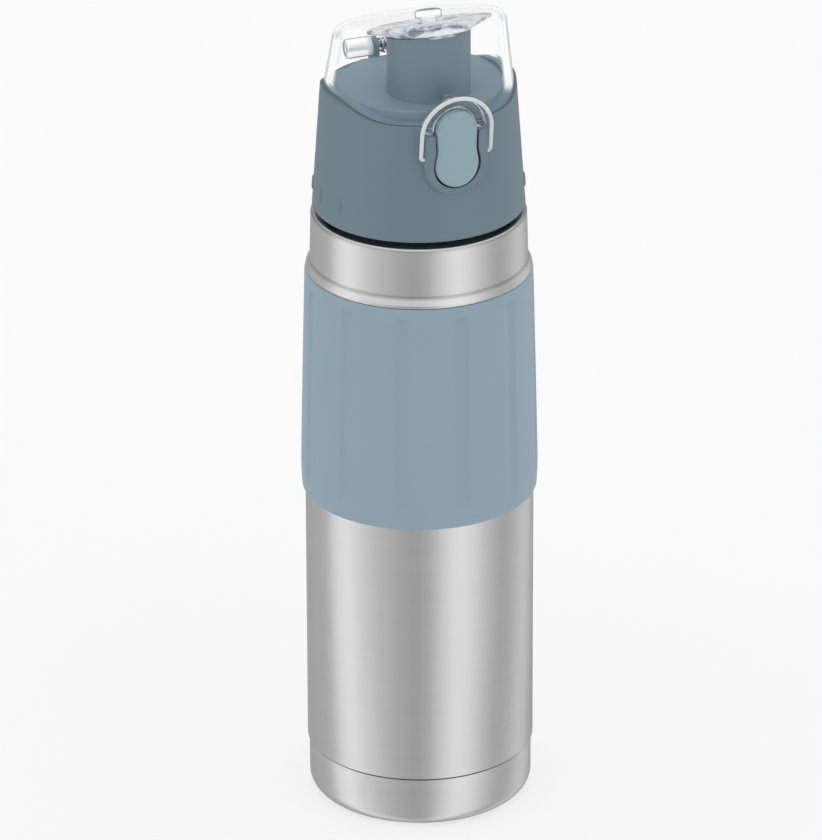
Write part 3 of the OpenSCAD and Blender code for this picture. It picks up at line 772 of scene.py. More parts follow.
@dataclass(frozen=True)
class Thread:
    """Thread that sinks into its wall at both ends."""

    radius: float
    sink: float
    wire: float
    low: float
    turns: float
    steps: int
    start: float = 0.0
    pitch: float = 4.2

    def wind(self, blank: Blank) -> None:
        """Adds the thread to a blank."""
        line = []
        for i in range(self.steps + 1):
            turn = self.turns * i / self.steps
            fade = ease(6 * turn) * ease(6 * (self.turns - turn))
            radius = self.radius + self.sink * (1 - fade)
            line.append(around(radius, turn + self.start, self.low + self.pitch * turn))
        blank.tube(line, self.wire, Vector((0, 0, 1)), 8)


@dataclass
class SteelBody:
    """Base cup, outer shell and inner flask."""

    body_r: float = 36.5
    wall: float = 0.5
    tail_r: float = 35.2
    tail_z: float = 4.5
    seam_z: float = 17.4
    step_z: float = 17.9
    recess_r: float = 35.2
    grip_z: float = 106.8
    grip_top_z: float = 182.4
    bead_r: float = 35.9
    bead_z: float = 183.4
    crease_r: float = 34.6
    crease_z: float = 185.65
    neck_r: float = 34.15
    shoulder_z: float = 202.1
    shoulder_round: float = 1.2
    lip_z: float = 223.2
    mouth_r: float = 25.35
    lip_r: float = 25.75
    cup_r: float = 35.9
    cup_round: float = 5.0
    kick_r: float = 20.3
    kick_z: float = 1.6
    flask_r: float = 31.3
    flask_wall: float = 0.4
    flask_z: float = 10.0
    flask_round: float = 9.0
    flask_shoulder: float = 13.0
    shoulder_bend: float = 4.0
    bore_r: float = 24.05
    thread: Thread = Thread(radius=25.45, sink=-0.7, wire=0.5, low=208.0, turns=2.1, steps=134)

    def shell_line(self, inset: float) -> list[Corner]:
        """Outer line of the shell, or its inner line when it is set in by the wall."""
        return [
            Corner(self.tail_r - inset, self.tail_z),
            Corner(self.tail_r - inset, self.step_z + inset - 0.1, 0.1),
            Corner(self.body_r - inset, self.step_z + inset, 0.15),
            Corner(self.body_r - inset, self.grip_z - inset, 0.3),
            Corner(self.recess_r - inset, self.grip_z - inset, 0.2),
            Corner(self.recess_r - inset, self.grip_top_z + inset, 0.2),
            Corner(self.bead_r - inset, self.grip_top_z + inset, 0.4),
            Corner(self.bead_r - inset, self.bead_z, 0.6),
            Corner(self.crease_r - inset, self.crease_z, 0.2),
            Corner(self.neck_r - inset, self.shoulder_z - inset, self.shoulder_round - inset),
            Corner(self.mouth_r - inset, self.shoulder_z - inset, 0.4),
            Corner(self.mouth_r - inset, self.lip_z - self.wall),
        ]

    def flask_line(self, out: float) -> list[Corner]:
        """Line of the flask, on its outside when out is its wall."""
        return [
            Corner(0, self.flask_z - out),
            Corner(self.flask_r + out, self.flask_z - out, self.flask_round),
            Corner(self.flask_r + out, self.grip_top_z, self.shoulder_bend),
            Corner(self.bore_r + out, self.grip_top_z + self.flask_shoulder, self.shoulder_bend),
            Corner(self.bore_r + out, self.lip_z - (self.wall if out else 0)),
        ]

    def cup_line(self, inset: float) -> list[Corner]:
        """Line of the base cup from its centre to its rim, on its inside when it is set in by the wall."""
        step = 0.4 * inset
        return [
            Corner(0, self.kick_z + inset),
            Corner(self.kick_r + step, self.kick_z + inset, 0.6 if inset else 1),
            Corner(self.kick_r + self.kick_z + step, inset, 0.6 if inset else 1),
            Corner(self.cup_r - inset, inset, self.cup_round - inset),
            Corner(self.cup_r - inset, self.seam_z, 0 if inset else 0.15),
        ]

    def build(self) -> None:
        """Makes the three steel pieces."""
        base = Blank()
        base.spin(self.cup_line(0) + self.cup_line(self.wall)[::-1], closed=False)
        base.piece("steel_base", Body.BOTTLE, STEEL, ["base_cup"])
        shell = Blank()
        shell.spin(self.shell_line(0) + self.shell_line(self.wall)[::-1])
        self.thread.wind(shell)
        shell.piece("steel_shell", Body.BOTTLE, STEEL, ["outer_shell"])
        flask = Blank()
        lip = [Corner(self.lip_r, self.lip_z - self.wall), Corner(self.lip_r, self.lip_z, 0.2)]
        flask.spin(self.flask_line(self.flask_wall) + lip + self.flask_line(0)[::-1], closed=False)
        flask.piece("steel_flask", Body.BOTTLE, FLASK_STEEL, ["inner_flask"])


@dataclass
class Grip:
    """Rubber sleeve with a ring of upright grooves."""

    low: float = 106.9
    high: float = 182.3
    seat_r: float = 35.3
    wide_r: float = 37.8
    wide_z: float = 115.8
    top_r: float = 36.2
    foot_r: float = 37.5
    grooves: int = 12
    groove_w: float = 5.0
    groove_d: float = 0.7
    groove_low: float = 111.0
    groove_high: float = 179.0
    groove_end: float = 0.7
    groove_foot: float = 4.0
    edge: float = 0.4
    edge_h: float = 0.8
    rows: int = 110
    columns: int = 384

    def radius(self, z: float) -> float:
        """Outer radius at a height, before the grooves."""
        if z < self.wide_z:
            share = (z - self.low) / (self.wide_z - self.low)
            return self.foot_r + (self.wide_r - self.foot_r) * math.sin(share * math.pi / 2) ** 0.9
        share = (z - self.wide_z) / (self.high - self.wide_z)
        return self.wide_r + (self.top_r - self.wide_r) * (0.85 * share + 0.15 * share * share)

    def groove(self, share: float, z: float) -> float:
        """Depth of the grooves at a place."""
        pitch = 1 / self.grooves
        off = ((share - 0.75 + pitch / 2) % pitch - pitch / 2) * TURN * self.wide_r
        across = abs(off) / (self.groove_w / 2)
        if across >= 1:
            return 0.0
        run = ease((self.groove_high - z) / self.groove_end) * ease((z - self.groove_low) / self.groove_foot)
        return self.groove_d * (1 - across ** 2.6) ** 1.2 * run

    def build(self) -> None:
        """Makes the sleeve."""
        def rule(ring: int, share: float) -> Vector:
            """Place of a point of the sleeve, up its outside and down its inside."""
            if ring <= self.rows:
                z = self.low + (self.high - self.low) * ring / self.rows
                ends = (max(0.0, 1 - away / self.edge_h) for away in (z - self.low, self.high - z))
                soft = self.edge * sum(end ** 2 for end in ends)
                return around(self.radius(z) - self.groove(share, z) - soft, share, z)
            return around(self.seat_r, share, self.high if ring == self.rows + 1 else self.low)

        blank = Blank()
        first, last = blank.loft(self.rows + 3, self.columns, rule)
        blank.bridge(first, last)
        blank.piece("grip", Body.BOTTLE, GRIP_RUBBER, ["grip_sleeve"], 40)


@dataclass
class Pill:
    """Upright outline of the button, narrowed at its waist."""

    low_r: float = 7.3
    top_r: float = 6.75
    waist: float = 6.5
    low_z: float = LAYOUT.arc_low_z
    top_z: float = LAYOUT.arc_top_z
    count: int = 112

    def at(self, share: float, out: float = 0.0) -> tuple[float, float]:
        """Point of the outline.

        Args:
            share: Share of the way around, from the right end of the lower arc.
            out: Distance outside the outline.

        Returns:
            Its X and Z.
        """
        part = (share * 4) % 4
        leg, t = int(part), part % 1
        if leg == 0:
            return (self.side(t) + out, self.low_z + t * (self.top_z - self.low_z))
        if leg == 1:
            angle = math.pi * t
            return ((self.top_r + out) * math.cos(angle), self.top_z + (self.top_r + out) * math.sin(angle))
        if leg == 2:
            return (-self.side(1 - t) - out, self.top_z + t * (self.low_z - self.top_z))
        angle = math.pi * (1 + t)
        return ((self.low_r + out) * math.cos(angle), self.low_z + (self.low_r + out) * math.sin(angle))

    def side(self, t: float) -> float:
        """Half width between the two arcs, from the lower to the upper."""
        if t < 0.5:
            return self.low_r + (self.waist - self.low_r) * ease(2 * t)
        return self.waist + (self.top_r - self.waist) * ease(2 * t - 1)

    def prism(self, out: float, front: float, back: float) -> Blank:
        """Closed prism of the outline between two places along Y."""
        blank = Blank()

        def rule(ring: int, share: float) -> Vector:
            """Point on the front or the back."""
            x, z = self.at(share, out)
            return Vector((x, back if ring else front, z))

        blank.cap(*blank.loft(2, self.count, rule))
        return blank


@dataclass
class LidShell:
    """Skirt, ledge, deck, button boss, grip ribs and hinge ears."""

    wall: float = 2.2
    deck_r: float = 26.66
    deck_z: float = 245.7
    deck_t: float = 2.6
    deck_edge: float = 0.8
    deck_fade: float = 1.2
    collar_r: float = 24.66
    collar_z: float = 239.9
    collar_step: float = 0.6
    hole_r: float = 13.2
    rear_y: float = 22.4
    ledge_t: float = 2.2
    ledge_lap: float = 0.4
    edge: float = 0.6
    notch_half: float = 20.0
    notch_w: float = 1.8
    notch_fade: float = 0.8
    columns: int = 240
    skirt_rows: int = 26
    rib_angles: tuple[float, ...] = (70, 90, 110)
    rib_z: float = 211.2
    rib_low: Point = (-1.5, -1.0, -2.65)
    rib_high: Point = (0.5, 1.0, 2.65)
    rib_round: float = 0.95
    boss_r: float = 10.55
    boss_edge: float = 1.3
    boss_deep: float = 3.6
    pocket_gap: float = 0.6
    pocket_y: Span = (-40.0, -28.9)
    room_r: float = 10.6
    room_y: float = -28.35
    room_deep: float = 12.0
    room_foot: float = 0.6
    slot_low: Point = (-2.85, -27.7, 243.75)
    slot_high: Point = (2.85, -22.9, 252.0)
    pivot_r: float = 0.78
    pivot_x: Span = (8.0, 11.2)
    ear_r: float = 3.0
    ear_z: float = 240.2
    ear_edge: float = 0.3
    ear_x: tuple[Span, ...] = ((-5.4, -3.4), (3.4, 5.4))
    pill: Pill = field(default_factory=Pill)

    def skirt(self) -> Blank:
        """Closed shell of the skirt, the ledge and the deck, with the spout's hole."""
        stations = self.stations()

        def rule(ring: int, share: float) -> Vector:
            """Place of a point at a station of the section."""
            return stations[ring](share)

        blank = Blank()
        blank.bridge(*blank.loft(len(stations), self.columns, rule))
        return blank

    def stations(self) -> list[Station]:
        """Section of the shell, as a place for each share of the way around."""
        lay = LAYOUT
        rows = self.skirt_rows
        rim_r = lay.lid_r_at(lay.rim_z)
        top_r, under = self.deck_r - self.deck_edge, self.deck_z - self.deck_t
        found: list[Station] = [partial(self.foot_at, angle) for angle in quarter(3)]
        found += [partial(self.wall_at, i / rows, 0, self.edge) for i in range(1, rows)]
        found += [partial(self.rim_at, angle) for angle in quarter(4)]
        across = [rim_r + (self.deck_r - rim_r) * t for t in (0.3, 0.55, 0.8, 0.96)]
        found += [partial(self.ledge_at, radius, 0) for radius in across]
        found += [partial(self.deck_wall_at, t) for t in (0.02, 0.2, 0.4, 0.6, 0.8, 0.95)]
        found += [partial(self.deck_edge_at, angle) for angle in quarter(4)]
        found += [partial(self.deck_face_at, t, top_r, self.deck_z) for t in (0.2, 0.45, 0.7, 0.9, 1)]
        found += [partial(self.deck_face_at, t, self.collar_r, under) for t in (1, 0.6, 0.2)]
        found.append(lambda share: around(self.collar_r - self.collar_step, share, self.collar_z))
        found.append(lambda share: around(self.deck_r, share, self.collar_z))
        found.append(partial(self.ledge_at, self.deck_r + self.ledge_lap, self.ledge_t))
        drop = self.ledge_t + self.edge
        found += [partial(self.wall_at, t, self.wall, drop) for t in (1, 0.75, 0.5, 0.25, 0.02)]
        found.append(lambda share: around(lay.lid_r - self.wall, share, lay.lid_z))
        return found

    @staticmethod
    def rim_over(radius: float, share: float) -> float:
        """Height of the rim over a point."""
        return LAYOUT.rim_at(radius * math.sin(TURN * share))

    def foot_at(self, angle: float, share: float) -> Vector:
        """Point on the rounded foot of the skirt."""
        radius = LAYOUT.lid_r - self.edge * (1 - math.sin(angle))
        return around(radius, share, LAYOUT.lid_z + self.edge * (1 - math.cos(angle)))

    def wall_at(self, t: float, inset: float, drop: float, share: float) -> Vector:
        """Point on the skirt, at a share of the height to the rim."""
        low = LAYOUT.lid_z + self.edge
        top = self.rim_over(LAYOUT.lid_r_at(LAYOUT.rim_z), share) - drop
        z = low + t * (top - low)
        return around(LAYOUT.lid_r_at(z) - inset, share, z)

    def rim_at(self, angle: float, share: float) -> Vector:
        """Point on the rounded rim."""
        top = self.rim_over(LAYOUT.lid_r_at(LAYOUT.rim_z), share)
        radius = LAYOUT.lid_r_at(top) - self.edge * (1 - math.cos(angle))
        return around(radius, share, top - self.edge * (1 - math.sin(angle)))

    def ledge_at(self, radius: float, drop: float, share: float) -> Vector:
        """Point on the ledge between the rim and the deck, or below it."""
        return around(radius, share, self.rim_over(radius, share) - drop)

    def soft(self, share: float) -> float:
        """Rounding of the deck's edge, which fades out where the rim rises past it."""
        clear = self.deck_z - self.rim_over(self.deck_r, share)
        return self.deck_edge * (0.06 + 0.94 * ease(clear / self.deck_fade))

    def deck_wall_at(self, t: float, share: float) -> Vector:
        """Point on the deck's wall, from the ledge up."""
        foot = self.rim_over(self.deck_r, share)
        z = foot + t * (self.deck_z - self.soft(share) - foot)
        return around(self.deck_at(share, z), share, z)

    def deck_edge_at(self, angle: float, share: float) -> Vector:
        """Point on the deck's rounded edge."""
        soft = self.soft(share)
        z = self.deck_z - soft * (1 - math.sin(angle))
        return around(self.deck_at(share, z) - soft * (1 - math.cos(angle)), share, z)

    def deck_face_at(self, t: float, radius: float, z: float, share: float) -> Vector:
        """Point on the deck's top or underside, between a circle and the spout's hole."""
        outer = around(min(radius, self.deck_at(share, z) - self.deck_edge), share, z)
        return outer.lerp(around(self.hole_r, share, z, LAYOUT.spout_y), t)

    def deck_at(self, share: float, z: float) -> float:
        """Radius of the deck, cut back at the rear for the cover's wall."""
        spot = around(self.deck_r, share, 0)
        if spot.y < 1:
            return self.deck_r
        width = ease((self.notch_half + 1 - abs(spot.x)) / 2)
        cut = self.notch_w * width + max(0.0, self.deck_r - self.notch_w - self.rear_y * self.deck_r / spot.y)
        rise = z - LAYOUT.rim_z + LAYOUT.rim_dip + self.notch_fade / 2
        return self.deck_r - cut * ease(rise / self.notch_fade)

    def boss(self) -> Blank:
        """Raised pill around the button, with a soft edge."""
        lay = LAYOUT
        edge = Pill(self.boss_r, self.boss_r, self.boss_r)
        line = [(0.0, lay.boss_y + self.boss_deep)]
        for angle in quarter(5):
            line.append((
                self.boss_edge * (math.cos(angle) - 1),
                lay.boss_y + self.boss_edge * (1 - math.sin(angle)),
            ))

        def rule(ring: int, share: float) -> Vector:
            """Point of the boss."""
            out, y = line[ring]
            x, z = edge.at(share, out)
            return Vector((x, y, z))

        blank = Blank()
        blank.cap(*blank.loft(len(line), self.pill.count, rule))
        return blank

    def tab_notch(self) -> Blank:
        """Room in the boss for the feet of the cover's tab."""
        blank = Blank()
        room = bmesh.ops.create_circle(blank.bm, cap_ends=True, segments=96, radius=self.room_r)["verts"]
        place = Matrix.Translation((0, self.room_y, LAYOUT.arc_top_z))
        blank.move(room, place @ Matrix.Rotation(math.pi / 2, 4, "X"))
        plane = Vector((0, 0, LAYOUT.arc_top_z - self.room_foot))
        bmesh.ops.bisect_plane(
            blank.bm, geom=blank.bm.verts[:] + blank.bm.edges[:] + blank.bm.faces[:],
            plane_co=plane, plane_no=(0, 0, 1), clear_inner=True,
        )
        made = bmesh.ops.extrude_face_region(blank.bm, geom=blank.bm.faces[:])["geom"]
        front = [v for v in made if isinstance(v, bmesh.types.BMVert)]
        bmesh.ops.translate(blank.bm, vec=(0, -self.room_deep, 0), verts=front)
        return blank

    def build(self) -> None:
        """Makes the lid's shell and its ribs and ears."""
        shell = self.skirt()
        shell.carve(self.boss(), Carving.JOIN)
        shell.carve(self.pill.prism(self.pocket_gap, *self.pocket_y), Carving.CUT)
        shell.carve(self.tab_notch(), Carving.CUT)
        shell.mill(self.slot_low, self.slot_high)
        for side in (-1, 1):
            start, end = ((side * x, LAYOUT.ring_y, LAYOUT.ring_z) for x in self.pivot_x)
            shell.drill(start, end, self.pivot_r, 24)
        self.ribs(shell)
        for low, high in self.ear_x:
            shell.cap(*shell.loft(4, 48, partial(self.ear_at, low, high)))
        shell.piece("lid_shell_skin", Body.LID, LID_PLASTIC, ["lid_shell"], 35)

    def ribs(self, shell: Blank) -> None:
        """Adds three upright ribs on each side."""
        lay = LAYOUT
        for side in (-1, 1):
            for angle in self.rib_angles:
                rib = shell.block(self.rib_low, self.rib_high, self.rib_round)
                turn = Matrix.Rotation(math.radians(-90 + side * angle), 4, "Z")
                place = Matrix.Translation((lay.lid_r_at(self.rib_z), 0, self.rib_z))
                shell.move(rib, turn @ place @ Matrix.Rotation(-lay.draft, 4, "Y"))

    def ear_at(self, low: float, high: float, ring: int, share: float) -> Vector:
        """Point of the outline of an ear that carries the hinge pin, on one of its faces."""
        lay = LAYOUT
        edge = self.ear_edge
        x = (low, low + edge, high - edge, high)[ring]
        reach = self.ear_r - (edge, 0, 0, edge)[ring]
        part = share * 2
        if part < 1:
            angle = math.pi * part
            return Vector((x, lay.hinge_y + reach * math.cos(angle), lay.hinge_z + reach * math.sin(angle)))
        return Vector((x, lay.hinge_y + reach * (2 * (part - 1) - 1), self.ear_z))


@dataclass
class LidCore:
    """Thread collar, floor and plug, and the spout that stands on them."""

    bore_r: float = 11.1
    spout_r: float = 13.1
    drop: float = 5.11
    rim: float = 0.45
    floor_z: float = 223.6
    foot_z: float = 226.1
    foot_r: float = 15.1
    foot_t: float = 1.5
    foot_round: float = 0.5
    hole_z: Span = (220.0, 230.0)
    plug_in: float = 21.35
    plug_out: float = 23.35
    plug_z: float = 212.6
    groove_r: float = 22.45
    groove_z: Span = (217.1, 221.1)
    collar_in: float = 26.45
    collar_out: float = 28.35
    collar_z: float = 204.6
    flange_r: float = 29.77
    front_low: Point = (-9.35, -40.0, 222.6)
    front_high: Point = (9.35, -28.9, 228.0)
    seat_r: float = 4.0
    seat_y: Span = (-23.26, -21.0)
    thread: Thread = Thread(radius=26.56, sink=0.6, wire=0.55, low=207.5, turns=1.8, steps=120, start=0.5)

    def build(self) -> None:
        """Makes the core and the spout."""
        floor = self.floor_z
        low, high = self.groove_z
        core = Blank()
        core.spin([
            Corner(0, floor), Corner(self.plug_in, floor, 0.4), Corner(self.plug_in, self.plug_z, 0.3),
            Corner(self.plug_out, self.plug_z, 0.5), Corner(self.plug_out, low), Corner(self.groove_r, low),
            Corner(self.groove_r, high), Corner(self.plug_out, high), Corner(self.plug_out, floor, 0.3),
            Corner(self.collar_in, floor, 0.3), Corner(self.collar_in, self.collar_z, 0.4),
            Corner(self.collar_out, self.collar_z, 0.4), Corner(self.collar_out, floor),
            Corner(self.flange_r, floor), Corner(self.flange_r, self.foot_z, 0.3), Corner(0, self.foot_z),
        ], closed=False)
        start, end = ((0, LAYOUT.spout_y, z) for z in self.hole_z)
        core.drill(start, end, self.bore_r, 128)
        core.mill(self.front_low, self.front_high)
        self.thread.wind(core)
        core.piece("lid_core_moulding", Body.LID, LID_PLASTIC, ["lid_core"])
        self.spout()

    def spout(self) -> None:
        """Makes the spout with its sloping, softly rounded mouth."""
        lay = LAYOUT
        line = [
            (self.foot_r, 0.0, 0.0), (self.foot_r, self.foot_t, 0.0),
            (self.spout_r + self.foot_round, self.foot_t, 0.0),
            (self.spout_r, self.foot_t + self.foot_round, 0.0),
        ]
        line += [(self.spout_r, 0.0, t) for t in (0.3, 0.5, 0.7, 0.85, 0.95)]
        for i in range(9):
            angle = math.pi * i / 8
            line.append((self._lip_r(angle), self._lip_z(angle), 1.0))
        line += [(self.bore_r, 0.0, t) for t in (0.8, 0.5, 0.2, 0.0)]

        def rule(ring: int, share: float) -> Vector:
            """Point of the spout's wall."""
            radius, rise, t = line[ring]
            spot = around(radius, share, self.foot_z, lay.spout_y)
            top = lay.roof_z - spot.y * math.tan(lay.slope) - self.drop
            spot.z += t * (top - self.foot_z) + rise
            return spot

        blank = Blank()
        blank.bridge(*blank.loft(len(line), 128, rule))
        start, end = ((0, y, lay.spring_z) for y in self.seat_y)
        blank.rod(start, end, self.seat_r, 40)
        blank.piece("spout_tube", Body.LID, LID_PLASTIC, ["spout"])

    def _lip_r(self, angle: float) -> float:
        """Radius of the lip's section, flat on top and rounded at both edges."""
        reach = (self.spout_r - self.bore_r) / 2
        side = max(-1.0, min(1.0, 1.6 * math.cos(angle)))
        return (self.spout_r + self.bore_r) / 2 + reach * side

    def _lip_z(self, angle: float) -> float:
        """Height of the lip's section below the spout's mouth."""
        return -self.rim * max(0.0, abs(math.cos(angle)) - 0.6) / 0.4


SLIDE: dict[str, tuple[Point, Point, float]] = {
    "flange": ((-8.35, -30.4, 229.9), (8.35, -29.4, 239.1), 0.25),
    "pad": ((-6.0, -31.15, 230.4), (6.0, -30.15, 238.6), 0.2),
    "arm": ((-2.5, -31.15, 244.1), (2.5, -26.11, 245.6), 0.2),
    "hook": ((-2.5, -27.31, 244.1), (2.5, -26.11, 250.7), 0.2),
    "nose": ((-2.5, -27.51, 249.5), (2.5, -26.11, 250.7), 0.15),
    "web": ((-2.5, -31.15, 236.0), (2.5, -30.15, 245.6), 0.2),
}


@dataclass
class Button:
    """Pale push button and the latch slide behind it."""

    face_y: float = -33.85
    back_y: float = -31.05
    crown_r: float = 30.0
    edge: float = 0.75
    back_lap: float = 0.5
    face_rings: tuple[float, ...] = (1.6, 2.6, 3.6, 4.6, 5.5, 6.2)
    rod_r: float = 1.5
    rod_y: Span = (-29.45, -26.8)
    pill: Pill = field(default_factory=Pill)

    def build(self) -> None:
        """Makes the button's cap and its slide."""
        line = [(-self.back_lap, self.back_y), (0.0, self.back_y), (0.0, self.face_y + self.edge)]
        for angle in quarter(5)[1:]:
            line.append((self.edge * (math.cos(angle) - 1), self.face_y + self.edge * (1 - math.sin(angle))))
        line += [(-inset, self.face_y) for inset in self.face_rings]

        def rule(ring: int, share: float) -> Vector:
            """Point of the button, with its crowned face."""
            out, y = line[ring]
            x, z = self.pill.at(share, out)
            crown = self.crown_r - math.sqrt(self.crown_r ** 2 - x * x) if ring > 1 else 0.0
            return Vector((x, y + crown, z))

        cap = Blank()
        cap.cap(*cap.loft(len(line), self.pill.count, rule))
        cap.piece("button_cap", Body.BUTTON, BUTTON_PLASTIC, ["push_button"], 40)
        slide = Blank()
        for low, high, rounding in SLIDE.values():
            slide.block(low, high, rounding)
        start, end = ((0, y, LAYOUT.spring_z) for y in self.rod_y)
        slide.rod(start, end, self.rod_r, 32)
        slide.piece("latch_slide", Body.BUTTON, LID_PLASTIC)


@dataclass
class LockRing:
    """Clear bail that swings up around the cover's tab."""

    ring_r: float = 11.575
    wire_r: float = 0.725
    rise: float = 8.3
    bend: float = 0.9
    stub_x: float = 8.95
    lean: float = math.radians(8)

    def build(self) -> None:
        """Makes the bail, upright about its pivot and then leant forward."""
        path: list[Vector] = []
        inner = self.ring_r - self.bend
        path.append(Vector((self.stub_x, 0, 0)))
        for angle in quarter(8):
            path.append(Vector((inner + self.bend * math.sin(angle), 0, self.bend * (1 - math.cos(angle)))))
        path += [Vector((self.ring_r, 0, self.rise * t)) for t in (0.4, 0.7)]
        for i in range(49):
            angle = math.pi * i / 48
            path.append(Vector((self.ring_r * math.cos(angle), 0, self.rise + self.ring_r * math.sin(angle))))
        path += [Vector((-p.x, p.y, p.z)) for p in path[11::-1]]
        blank = Blank()
        blank.tube(path, self.wire_r, Vector((0, 1, 0)), 24)
        place = Matrix.Translation((0, LAYOUT.ring_y, LAYOUT.ring_z)) @ Matrix.Rotation(self.lean, 4, "X")
        blank.move(blank.bm.verts, place)
        blank.piece("lock_bail", Body.RING, RING_CLEAR, ["lock_ring"])


@dataclass
class Cover:
    """Clear flip cover with its tab, catch and hinge knuckles."""

    foot_r: float = 30.338
    foot_z: float = 241.1
    roof_r: float = 27.438
    edge: float = 4.0
    wall: float = 1.2
    gap: float = 0.3
    columns: int = 192
    tab_in: float = 7.1
    tab_out: float = 10.3
    tab_y: float = -31.65
    tab_deep: float = 4.6
    tab_foot_z: float = 240.0
    tab_round: float = 0.9
    tab_square: float = 0.55
    tab_steps: int = 40
    front_y: Span = (-40.0, -13.0)
    hinge_half: float = 5.6
    hinge_room_r: float = 5.4
    rear_half: float = 14.2
    rear_y: Span = (10.0, 40.0)
    rear_z: float = 240.0
    stem_r: float = 2.55
    stem_half: float = 8.0
    knuckle_r: float = 3.15
    knuckle_end: float = 13.8
    pin_r: float = 1.05

    def dome(self, inset: float, trim: bool) -> tuple[int, Rule]:
        """Rings of the sloping dome.

        Args:
            inset: How far it lies inside the outer face.
            trim: Whether it starts at the lid's rim and not at its foot.

        Returns:
            The number of rings, and their rule.
        """
        lay = LAYOUT
        tilt = Matrix.Rotation(-lay.slope, 3, "X")
        top = tilt @ Vector((0, 0, 1))
        core_r = self.roof_r - self.edge
        edge = self.edge - inset
        walls, arcs, roofs = 14, 10, 9

        def rule(ring: int, share: float) -> Vector:
            """Point of the dome."""
            foot = around(self.foot_r - inset, share, self.foot_z)
            out = tilt @ around(1, share, 0)
            middle = Vector((0, 0, lay.roof_z)) + tilt @ around(core_r, share, -self.edge)
            off = middle - foot
            a, b = off.dot(out), off.dot(top)
            tangent = math.atan2(b, a) - math.acos(-edge / math.hypot(a, b))
            if ring <= walls:
                touch = middle + edge * (math.cos(tangent) * out + math.sin(tangent) * top)
                start = 0.0
                if trim:
                    low = lay.rim_at(foot.y * 0.99) + self.gap
                    start = (low - self.foot_z) / (touch.z - self.foot_z)
                return foot.lerp(touch, start + (1 - start) * ring / walls)
            if ring <= walls + arcs:
                angle = tangent + (math.pi / 2 - tangent) * (ring - walls) / arcs
                return middle + edge * (math.cos(angle) * out + math.sin(angle) * top)
            t = 1 - (ring - walls - arcs) / (roofs + 0.35)
            return Vector((0, 0, lay.roof_z)) + tilt @ around(core_r * t, share, -inset)

        return walls + arcs + roofs + 1, rule

    def shell(self) -> Blank:
        """Thin dome with its lower edge on the lid's rim."""
        blank = Blank()
        feet = []
        for inset in (0.0, self.wall):
            rings, rule = self.dome(inset, True)
            first, last = blank.loft(rings, self.columns, rule)
            blank.cap(last)
            feet.append(first)
        blank.bridge(*feet)
        return blank

    def tab(self) -> Blank:
        """Arch in front of the dome, with rounded edges and feet."""
        mid = (self.tab_in + self.tab_out) / 2
        half = (self.tab_out - self.tab_in) / 2
        steps = self.tab_steps
        low = math.asin((self.tab_foot_z + self.tab_round - LAYOUT.arc_top_z) / mid)
        back = self.tab_y + self.tab_deep

        def squared(value: float) -> float:
            """Sine or cosine of a rounded square."""
            return math.copysign(abs(value) ** self.tab_square, value)

        def rule(ring: int, share: float) -> Vector:
            """Point of the arch's section at a step along it."""
            t = min(1.0, max(0.0, (ring - 3) / (steps - 6)))
            angle = low + (math.pi - 2 * low) * t
            end = min(ring, steps - ring, 3) / 3
            shrink = math.sqrt(max(0.0, 1 - (1 - end) ** 2)) * 0.85 + 0.15
            beyond = (1 - end) * self.tab_round * (-1 if ring < 3 else 1) if end < 1 else 0.0
            side = TURN * share
            radius = mid + half * squared(math.cos(side)) * shrink
            deep = (self.tab_y + back) / 2 + (back - self.tab_y) / 2 * squared(math.sin(side))
            spot = Vector((radius * math.cos(angle), deep, LAYOUT.arc_top_z + radius * math.sin(angle)))
            return spot + beyond * Vector((-math.sin(angle), 0, math.cos(angle)))

        blank = Blank()
        blank.cap(*blank.loft(steps + 1, 32, rule))
        return blank

    def build(self) -> None:
        """Makes the dome, the tab and the knuckles."""
        lay = LAYOUT
        axis = (lay.hinge_y, lay.hinge_z)
        shell = self.shell()
        start, end = ((0, y, lay.arc_top_z) for y in self.front_y)
        shell.drill(start, end, self.tab_in, 96)
        shell.drill((-self.hinge_half, *axis), (self.hinge_half, *axis), self.hinge_room_r, 96)
        front, back = self.rear_y
        shell.mill((-self.rear_half, front, self.rear_z), (self.rear_half, back, lay.hinge_z))
        stem = Blank()
        stem.rod((0, 0, -self.stem_half), (0, 0, self.stem_half), self.stem_r, 48)
        stem.move(stem.bm.verts, lay.on_roof())
        shell.carve(stem, Carving.CUT)
        shell.piece("clear_cover", Body.COVER, COVER_FILM, ["cover"], 30)
        arch = self.tab()
        inside = Blank()
        rings, rule = self.dome(0.05, False)
        inside.cap(*inside.loft(rings, self.columns, rule))
        arch.carve(inside, Carving.CUT)
        arch.piece("cover_tab", Body.COVER, TAB_CLEAR, (), 40)
        knuckles = Blank()
        for side in (-1, 1):
            self.knuckle(knuckles, side)
        knuckles.piece("cover_knuckles", Body.COVER, STEM_CLEAR)

    def knuckle(self, blank: Blank, side: int) -> None:
        """Adds one hinge knuckle with its bore, on the side of the given sign."""
        made = blank.spin([
            Corner(self.pin_r, self.hinge_half), Corner(self.knuckle_r, self.hinge_half, 0.3),
            Corner(self.knuckle_r, self.knuckle_end, 0.4), Corner(self.pin_r, self.knuckle_end),
        ], 64)
        place = Matrix.Translation((0, LAYOUT.hinge_y, LAYOUT.hinge_z))
        blank.move(made, place @ Matrix.Rotation(side * math.pi / 2, 4, "Y"))


